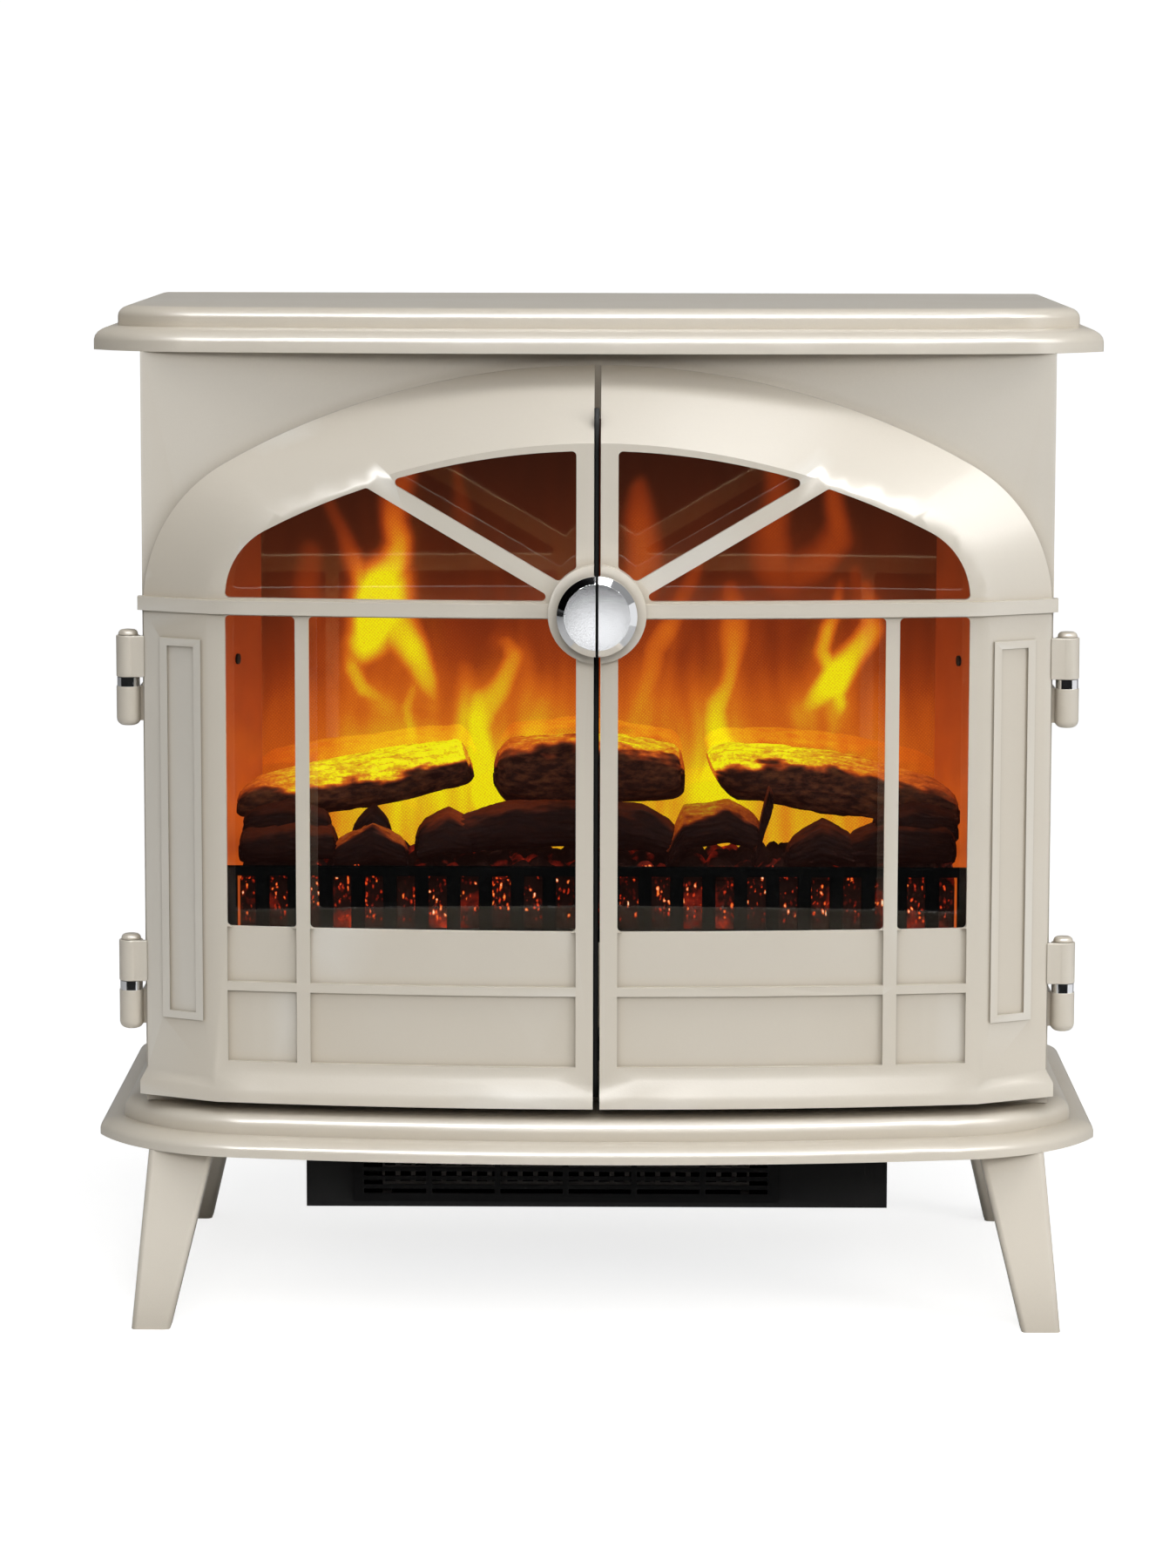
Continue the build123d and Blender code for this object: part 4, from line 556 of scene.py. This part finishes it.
def screen_sheet(material):
    """The screen as a closed sheet, with the flames held as a value on its front points."""
    low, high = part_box("flame_screen")
    columns = int((high.x - low.x) / FLAME_STEP)
    rows = int((high.z - low.z) / FLAME_STEP)
    xs = np.linspace(low.x, high.x, columns + 1)
    zs = np.linspace(low.z, high.z, rows + 1)
    front = [(x, low.y, z) for z in zs for x in xs]
    faces = []
    for row in range(rows):
        for column in range(columns):
            first = row * (columns + 1) + column
            faces.append((first, first + 1, first + columns + 2, first + columns + 1))
    start = len(front)
    back = [(low.x, high.y, low.z), (high.x, high.y, low.z),
            (high.x, high.y, high.z), (low.x, high.y, high.z)]
    faces.append(tuple(start + i for i in (3, 2, 1, 0)))
    foot = list(range(columns + 1))
    head = [rows * (columns + 1) + i for i in range(columns + 1)]
    left = [row * (columns + 1) for row in range(rows + 1)]
    right = [row * (columns + 1) + columns for row in range(rows + 1)]
    faces.append(tuple(foot[::-1] + [start, start + 1]))
    faces.append(tuple(head + [start + 2, start + 3]))
    faces.append(tuple(left + [start + 3, start]))
    faces.append(tuple(right[::-1] + [start + 1, start + 2]))
    piece = mesh_piece("flame_screen_sheet", front + back, faces, material, smooth=False)
    x, z = (np.array([p[k] for p in front]) / MM for k in (0, 2))
    heat = np.concatenate([flame_heat(x, z), np.zeros(len(back))])
    layer = piece.data.attributes.new("fire_heat", "FLOAT", "POINT")
    layer.data.foreach_set("value", heat.astype(np.float32))
    return piece


FIRE_COLOURS = [
    (0.00, (.010, .0015, .0006)), (0.10, (.035, .006, .0022)), (0.20, (.070, .011, .003)),
    (0.30, (.122, .017, .0038)), (0.40, (.205, .025, .0042)), (0.50, (.305, .040, .0050)),
    (0.60, (.485, .076, .0062)), (0.70, (.645, .122, .008)), (0.78, (.730, .223, .0098)),
    (0.86, (.775, .402, .0098)), (0.93, (.855, .578, .007)), (1.00, (.957, .871, .004)),
]


def fire_ramp(tree, heat):
    """Colour of the fire for a heat from 0, dark, to 1, brightest yellow."""
    ramp = tree.nodes.new("ShaderNodeValToRGB")
    stops = ramp.color_ramp.elements
    while len(stops) < len(FIRE_COLOURS):
        stops.new(0.5)
    for stop, (place, colour) in zip(stops, FIRE_COLOURS):
        stop.position = place
        stop.color = (*colour, 1)
    tree.links.new(heat, ramp.inputs["Fac"])
    return ramp.outputs["Color"]


flame_paint, tree, shader = new_material("flame_screen_acrylic", {
    "Metallic": 1.0, "Base Color": (0.22, 0.16, 0.10, 1), "Roughness": 0.045, "Emission Strength": 1.0})
held_heat = node(tree, "ShaderNodeAttribute", attribute_name="fire_heat").outputs["Fac"]
place = node(tree, "ShaderNodeTexCoord").outputs["Object"]
weave_turn = node(tree, "ShaderNodeMapping", {"Vector": place, "Rotation": (0.0, math.radians(52), 0.0)})
threads = {"Vector": weave_turn.outputs["Vector"], "Scale": 190.0, "Distortion": 0.6}
weave_a = node(tree, "ShaderNodeTexWave", threads, wave_type="BANDS", bands_direction="X")
weave_b = node(tree, "ShaderNodeTexWave", threads, wave_type="BANDS", bands_direction="Z")
weave = arithmetic(tree, "MULTIPLY", weave_a.outputs["Fac"], weave_b.outputs["Fac"])
grain = node(tree, "ShaderNodeTexNoise", {"Vector": place, "Scale": 700.0, "Detail": 2.0})
meshed = arithmetic(tree, "MULTIPLY", held_heat, stretch(tree, weave, 0.0, 1.0, 0.95, 1.07))
meshed = arithmetic(tree, "MULTIPLY", meshed, stretch(tree, grain.outputs["Fac"], 0.3, 0.7, 0.97, 1.03))
tree.links.new(fire_ramp(tree, meshed), shader.inputs["Emission Color"])
noise.seed_set(WISP_SEED)
screen = screen_sheet(flame_paint)
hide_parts("flame_screen")
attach(screen, "casing")


# ---------------------------------------------------------------- firebox walls
# Two slanted steel side sheets, screwed in at the front and back. Their bronze-brown coat
# is half bright, and the fire's light on it is painted in as a glow, strongest low down.

wall_paint_and_glow, tree, shader = new_material("firebox_wall_paint_and_glow", {
    "Metallic": 0.6, "Roughness": 0.28, "Emission Strength": 1.0})
place = node(tree, "ShaderNodeTexCoord").outputs["Object"]
up = node(tree, "ShaderNodeSeparateXYZ", {"Vector": place}).outputs["Z"]
smoke_and_glow_noise = node(tree, "ShaderNodeTexNoise", {"Vector": place, "Scale": 30.0, "Detail": 4.0})
# painted firelight: the walls glow in the fire's colours, more towards the bottom and in patches
painted_firelight = stretch(tree, up, 0.33, 0.60, 0.54, 0.20)
glow_patches = stretch(tree, smoke_and_glow_noise.outputs["Fac"], 0.3, 0.7, 0.93, 1.07)
painted_firelight = arithmetic(tree, "MULTIPLY", painted_firelight, glow_patches)
tree.links.new(fire_ramp(tree, painted_firelight), shader.inputs["Emission Color"])
wall_tone = blend_colours(tree, smoke_and_glow_noise.outputs["Fac"], (0.10, 0.03, 0.015, 1), (0.16, 0.05, 0.02, 1))
tree.links.new(wall_tone, shader.inputs["Base Color"])
dress(wall_paint_and_glow, "left_firebox_wall", "right_firebox_wall")


# ---------------------------------------------------------------- logs
# Three hollow resin logs, moulded from real bark and painted. The light under them
# shines through the thin tops, which glow yellow, and leaves the undersides charred.

RINGS_APART = 1.5 * MM
ROUND_STEPS = 110


def bark_relief(along, around, seed):
    """Height of the bark from about -1 to 1: plates broken by cracks across and along."""
    place = Vector((along * 30, math.cos(around) * 1.5, math.sin(around) * 1.5 + seed))
    plates = noise.voronoi(Vector((place.x * 1.1, place.y * 2.4, place.z * 2.4)))[0]
    crack = min(1.0, (plates[1] - plates[0]) * 3.2)
    ridges = 1 - 2 * abs(noise.noise(Vector((place.x * 0.6, place.y * 3.0, place.z * 3.0))))
    fine = noise.fractal(place * 3.1, 1.0, 2.1, 4)
    return 0.9 * (crack - 0.6) + 0.3 * ridges + 0.35 * fine


def bark_log(name, line, seed, material, lit, rough=1.0, tilt=(0.15, 0.15)):
    """A log along points of x, y, z and radius in millimetres.

    lit lists x, brightness of the glow there, and how far round from the top it reaches.
    tilt leans the two cut ends off square.
    """
    line = np.array(line, float) * MM
    lit = np.array(lit, float)
    reach = np.concatenate([[0], np.cumsum(np.linalg.norm(np.diff(line[:, :3], axis=0), axis=1))])
    count = int(reach[-1] / RINGS_APART)
    where = np.linspace(0, reach[-1], count + 1)
    centre = np.array([np.interp(where, reach, line[:, k]) for k in range(4)]).T
    points, glow = [], []

    def light(x, up, patch):
        level = np.interp(x / MM, lit[:, 0], lit[:, 1])
        edge = np.interp(x / MM, lit[:, 0], lit[:, 2])
        return float(level * np.clip((up - edge + 0.32 * patch) / 0.30, 0, 1))

    for index, (x, y, z, radius) in enumerate(centre):
        near_end = min(where[index], reach[-1] - where[index]) / (0.30 * radius)
        ease = 1 - 0.16 * max(0.0, 1 - near_end) ** 2
        for step in range(ROUND_STEPS):
            around = step / ROUND_STEPS * 2 * math.pi
            across, up = math.cos(around), math.sin(around)
            relief = bark_relief(where[index], around, seed)
            lump = noise.noise(Vector((where[index] * 18, across * 1.2 + seed, up * 1.2)))
            r = radius * ease * (1 + 0.15 * lump) + rough * 1.3 * MM * relief
            lean = tilt[0] * max(0.0, 1 - where[index] / radius)
            lean -= tilt[1] * max(0.0, 1 - (reach[-1] - where[index]) / radius)
            points.append((x + lean * r * up, y + r * across * 0.92, z + r * up))
            patch_at = Vector((where[index] * 55, across * 2.5, up * 2.5 + seed))
            patch = noise.fractal(patch_at, 1.0, 2.0, 3)
            dim = 0.90 + 0.16 * min(1.0, max(0.0, relief + 0.5))
            glow.append(dim * light(x, up, patch))
    faces = []
    for ring in range(count):
        for step in range(ROUND_STEPS):
            after = (step + 1) % ROUND_STEPS
            a = ring * ROUND_STEPS
            faces.append((a + step, a + after, a + ROUND_STEPS + after, a + ROUND_STEPS + step))
    for ring, out in ((0, -1), (count, 1)):
        edge = [ring * ROUND_STEPS + step for step in range(ROUND_STEPS)]
        x, y, z, radius = centre[ring]
        for share in (0.9, 0.72, 0.5, 0.26):
            start = len(points)
            for step in range(ROUND_STEPS):
                px, py, pz = points[ring * ROUND_STEPS + step]
                at = Vector((py * 330, pz * 330, seed))
                grain = noise.noise(at) * 1.3 * MM + noise.noise(at * 3) * 0.5 * MM
                points.append((x + (px - x) * share + out * (radius * 0.16 * (1 - share) ** 0.5 + grain),
                               y + (py - y) * share, z + (pz - z) * share))
                up = math.sin(step / ROUND_STEPS * 2 * math.pi) * share
                glow.append(0.75 * light(x, up + 0.25, noise.noise(at)))
            new = [start + step for step in range(ROUND_STEPS)]
            for step in range(ROUND_STEPS):
                after = (step + 1) % ROUND_STEPS
                quad = (edge[step], new[step], new[after], edge[after])
                faces.append(quad if out > 0 else quad[::-1])
            edge = new
        faces.append(tuple(edge if out > 0 else edge[::-1]))
    piece = mesh_piece(name, points, faces, material)
    layer = piece.data.attributes.new("fire_glow", "FLOAT", "POINT")
    layer.data.foreach_set("value", np.array(glow, np.float32))
    return piece


def log_material(name, brown, glow_power):
    """Painted resin that glows by the amount held on its points."""
    material, tree, shader = new_material(name, {
        "Roughness": 0.85, "Specular IOR Level": 0.0, "Emission Strength": glow_power})
    place = node(tree, "ShaderNodeTexCoord").outputs["Object"]
    held = node(tree, "ShaderNodeAttribute", attribute_name="fire_glow").outputs["Fac"]
    grain_way = node(tree, "ShaderNodeMapping", {"Vector": place, "Scale": (1.0, 2.4, 2.4)})
    along_grain = grain_way.outputs["Vector"]
    bark = node(tree, "ShaderNodeTexNoise", {
        "Vector": along_grain, "Scale": 90.0, "Detail": 6.0, "Roughness": 0.7})
    fine = node(tree, "ShaderNodeTexNoise", {"Vector": along_grain, "Scale": 420.0, "Detail": 3.0})
    texture = arithmetic(tree, "MULTIPLY", stretch(tree, bark.outputs["Fac"], 0.28, 0.68, 0.84, 1.12),
                         stretch(tree, fine.outputs["Fac"], 0.3, 0.7, 0.88, 1.08))
    fire = fire_ramp(tree, arithmetic(tree, "MULTIPLY", held, texture))
    tree.links.new(fire, shader.inputs["Emission Color"])
    browned = stretch(tree, bark.outputs["Fac"], 0.42, 0.72)
    char = blend_colours(tree, browned, (0.004, 0.003, 0.003, 1), brown)
    tree.links.new(char, shader.inputs["Base Color"])
    bump = node(tree, "ShaderNodeBump", {
        "Strength": 0.9, "Distance": 0.0012, "Height": bark.outputs["Fac"]})
    tree.links.new(bump.outputs["Normal"], shader.inputs["Normal"])
    return material


log_paint = log_material("log_resin_paint", (0.060, 0.022, 0.009, 1), 1.0)
LEFT_LOG = [(-241, -54, 336, 9), (-229, -51, 339, 14), (-202, -46, 343, 17), (-168, -39, 348, 18),
            (-127, -30, 354, 18), (-101, -25, 358, 16), (-89, -22, 361, 14)]
LEFT_LIT = [(-250, .45, .50), (-215, .80, .15), (-190, .96, .00), (-150, 1.0, -.15),
            (-100, 1.05, -.05), (-85, 1.1, -.2)]
CENTRE_LOG = [(-68, -22, 355, 15), (-61, -22, 355, 21), (-46, -22, 355, 24), (-15, -22, 355, 25),
              (15, -22, 355, 23), (39, -22, 354, 20), (56, -22, 353, 17)]
CENTRE_LIT = [(-70, .62, .30), (-40, .80, .55), (-10, .90, .62), (20, .96, .50),
              (45, .90, .40), (62, .80, .30)]
RIGHT_LOG = [(80, -22, 354, 15), (91, -24, 354, 20), (126, -31, 352, 20), (161, -38, 348, 20),
             (196, -45, 342, 19), (224, -51, 337, 16), (241, -54, 333, 12)]
RIGHT_LIT = [(76, 1.0, -.35), (92, 1.02, .15), (125, .98, .30), (160, .86, .40),
             (200, .68, .35), (230, .52, .30), (250, .40, .3)]
for name, line, lit, seed, lean in (
        ("left_log", LEFT_LOG, LEFT_LIT, 3.0, (0.2, 0.35)),
        ("centre_log", CENTRE_LOG, CENTRE_LIT, 11.0, (0.1, 0.1)),
        ("right_log", RIGHT_LOG, RIGHT_LIT, 23.0, (-0.45, 0.2))):
    timber = bark_log(f"{name}_bark", line, seed, log_paint, lit, tilt=lean)
    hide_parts(name)
    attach(timber, "casing")


# ---------------------------------------------------------------- ember bed
# One translucent resin moulding of coals and burnt sticks in front of and under the logs,
# lit red from below. Its black upright front is pierced by small glowing flecks.

EMBER_STEP = 1.5 * MM
BED_FRONT = -83.0 * MM
BED_TOP = 297.0 * MM
COAL_HIGH = 9.0 * MM


def coal(x, y):
    """Height of the heap of coals at a point in metres."""
    place = Vector((x * 62, y * 62, 4.0))
    near = noise.voronoi(place)[0]
    lump = max(0.0, 1 - near[0] * 1.5) ** 0.6
    crack = min(1.0, (near[1] - near[0]) * 4)
    return lump * (0.35 + 0.65 * crack) + 0.25 * noise.noise(place * 2.7)


def ember_heap(material):
    """The moulding's front and top as one rough sheet."""
    low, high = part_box("ember_bed")
    half = high.x - 1.0 * MM
    columns = int(2 * half / EMBER_STEP)
    depth = high.y - BED_FRONT
    profile = [(0.0, step / 33 * 0.86, True) for step in range(34)]
    for step in range(1, 8):
        turn = step / 7 * math.pi / 2
        profile.append(((1 - math.cos(turn)) * 0.14, 0.86 + 0.14 * math.sin(turn), False))
    profile += [(0.14 + step / 39 * 0.86, 1.0, False) for step in range(1, 40)]
    points, faces = [], []
    for back, up, face in profile:
        for column in range(columns + 1):
            x = -half + column * 2 * half / columns
            y = BED_FRONT + back * depth
            z = low.z + up * (BED_TOP - low.z)
            if face:
                rough = noise.noise(Vector((x * 240, z * 150, 9.0)))
                rough += 0.6 * noise.noise(Vector((x * 520, z * 420, 2.0)))
                y += (1.0 + 1.4 * rough) * MM
            else:
                z += COAL_HIGH * (coal(x, y) - 0.45)
                y += 1.5 * MM * noise.noise(Vector((x * 160, y * 160, 1.0)))
            points.append((x * (1 - 0.05 * back), y, z))
    row = columns + 1
    for line in range(len(profile) - 1):
        for column in range(columns):
            first = line * row + column
            faces.append((first, first + 1, first + row + 1, first + row))
    return mesh_piece("ember_bed_coals", points, faces, material)


SPARK_COLOURS = [(0.0, (0.004, 0.0008, 0.0004)), (0.16, (0.14, 0.006, 0.002)), (0.36, (0.80, 0.045, 0.006)),
                 (0.62, (1.0, 0.32, 0.04)), (1.0, (1.0, 0.86, 0.62))]
SPARK_WOBBLE = (0.0035, 0.0035, 0.0035)
SPARKS_END = (5.5 * MM, 3.0 * MM)       # sparks fade out this far behind the upright front
SPARKS_START = (258.0 * MM, 266.0 * MM)     # and fade in over these heights
ember_paint, tree, shader = new_material("ember_resin_paint", {
    "Roughness": 0.85, "Specular IOR Level": 0.0, "Emission Strength": 1.0})
place = node(tree, "ShaderNodeTexCoord").outputs["Object"]
part = node(tree, "ShaderNodeSeparateXYZ", {"Vector": place})
spark_way = node(tree, "ShaderNodeMapping", {"Vector": place, "Scale": (1.0, 1.0, 0.55)})
wobble = node(tree, "ShaderNodeTexNoise", {"Vector": place, "Scale": 180.0, "Detail": 2.0})
spark_place = node(tree, "ShaderNodeVectorMath", {
    0: wobble.outputs["Color"], 1: SPARK_WOBBLE, 2: spark_way.outputs["Vector"]}, operation="MULTIPLY_ADD")
spark_cells = node(tree, "ShaderNodeTexVoronoi", {
    "Vector": spark_place.outputs["Vector"], "Scale": 400.0}, feature="F1")
spark_tone = node(tree, "ShaderNodeSeparateColor", {"Color": spark_cells.outputs["Color"]})
spark_shape = stretch(tree, spark_cells.outputs["Distance"], 0.46, 0.16)
chosen = stretch(tree, spark_tone.outputs["Red"], 0.40, 0.92)
cluster = node(tree, "ShaderNodeTexNoise", {"Vector": place, "Scale": 60.0, "Detail": 3.0})
clustered = stretch(tree, cluster.outputs["Fac"], 0.38, 0.55, 0.25, 1.0)
spark = arithmetic(tree, "MULTIPLY", arithmetic(tree, "MULTIPLY", spark_shape, chosen), clustered)
front_only = stretch(tree, part.outputs["Y"], BED_FRONT + SPARKS_END[0], BED_FRONT + SPARKS_END[1])
above_foot = stretch(tree, part.outputs["Z"], *SPARKS_START)
spark = arithmetic(tree, "MULTIPLY", arithmetic(tree, "MULTIPLY", spark, front_only), above_foot)
hot_spots = node(tree, "ShaderNodeTexNoise", {
    "Vector": place, "Scale": 30.0, "Detail": 5.0, "Roughness": 0.6})
top_glow = stretch(tree, hot_spots.outputs["Fac"], 0.56, 0.80, 0.0, 0.42)
ramp = tree.nodes.new("ShaderNodeValToRGB")
stops = ramp.color_ramp.elements
while len(stops) < len(SPARK_COLOURS):
    stops.new(0.5)
for stop, (at, colour) in zip(stops, SPARK_COLOURS):
    stop.position = at
    stop.color = (*colour, 1)
tree.links.new(arithmetic(tree, "ADD", spark, top_glow), ramp.inputs["Fac"])
tree.links.new(ramp.outputs["Color"], shader.inputs["Emission Color"])
coal_tone = blend_colours(tree, hot_spots.outputs["Fac"],
                          (0.004, 0.002, 0.002, 1), (0.016, 0.006, 0.004, 1))
tree.links.new(coal_tone, shader.inputs["Base Color"])
heap = ember_heap(ember_paint)
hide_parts("ember_bed")
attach(heap, "casing")

stick_paint = log_material("burnt_stick_paint", (0.010, 0.0035, 0.002, 1), 0.55)
# each stick: points of x, y, z and radius in millimetres, its glow, and its own bark
STICKS = [
    ([(-238, -72, 310, 12), (-200, -72, 314, 14), (-176, -70, 312, 11)],
     [(-250, .16, .2), (-176, .3, .3)], 1.0),
    ([(-236, -66, 322, 10), (-205, -66, 326, 13), (-180, -66, 322, 9)],
     [(-250, .1, .4), (-176, .2, .5)], 2.0),
    ([(-176, -74, 303, 9), (-150, -73, 313, 13), (-128, -74, 304, 10)],
     [(-180, .55, .55), (-128, .66, .5)], 4.0),
    ([(-163, -66, 318, 8), (-150, -66, 328, 9), (-140, -66, 320, 8)],
     [(-180, .1, .5), (-128, .1, .5)], 5.0),
    ([(-120, -72, 312, 13), (-100, -71, 320, 15), (-84, -70, 316, 12)],
     [(-128, .2, .5), (-80, .62, .4)], 6.0),
    ([(-96, -70, 316, 12), (-60, -70, 323, 15), (-10, -69, 325, 16),
      (30, -69, 322, 15), (52, -69, 314, 12)],
     [(-100, .3, .35), (-60, .34, .55), (0, .22, .6), (50, .25, .4)], 7.0),
    ([(48, -70, 306, 12), (58, -70, 322, 15), (88, -68, 326, 14), (108, -68, 318, 12)],
     [(44, .5, .2), (62, .8, .25), (90, .74, .35), (112, .5, .4)], 8.0),
    ([(106, -70, 304, 10), (112, -70, 330, 12), (116, -69, 342, 9)],
     [(100, .3, .6), (120, .3, .5)], 9.0),
    ([(128, -72, 304, 11), (150, -71, 314, 14), (172, -71, 306, 12)],
     [(120, .26, .5), (180, .22, .5)], 10.0),
    ([(168, -70, 308, 11), (200, -70, 315, 15), (238, -69, 312, 13)],
     [(160, .24, .4), (240, .18, .4)], 12.0),
    ([(186, -66, 322, 10), (212, -66, 326, 13), (240, -66, 322, 10)],
     [(180, .12, .5), (240, .1, .5)], 13.0),
]
for index, (line, lit, seed) in enumerate(STICKS):
    stick = bark_log(f"burnt_stick_{index + 1}", line, seed, stick_paint, lit, rough=1.4)
    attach(stick, "casing")


# ---------------------------------------------------------------- fender
# A low fender with upright bars stands in front of the coals. It is one black moulding
# with softly rounded bars, matt all over.

cast_black = coated("fender_black", (0.003, 0.003, 0.003, 1), (0.012, 0.011, 0.010, 1),
                    (0.001, 0.001, 0.001, 1), 0.7, 900.0, 0.4, {"Specular IOR Level": 0.0})
dress(cast_black, "ember_grate")
soften("ember_grate", 1.2 * MM)
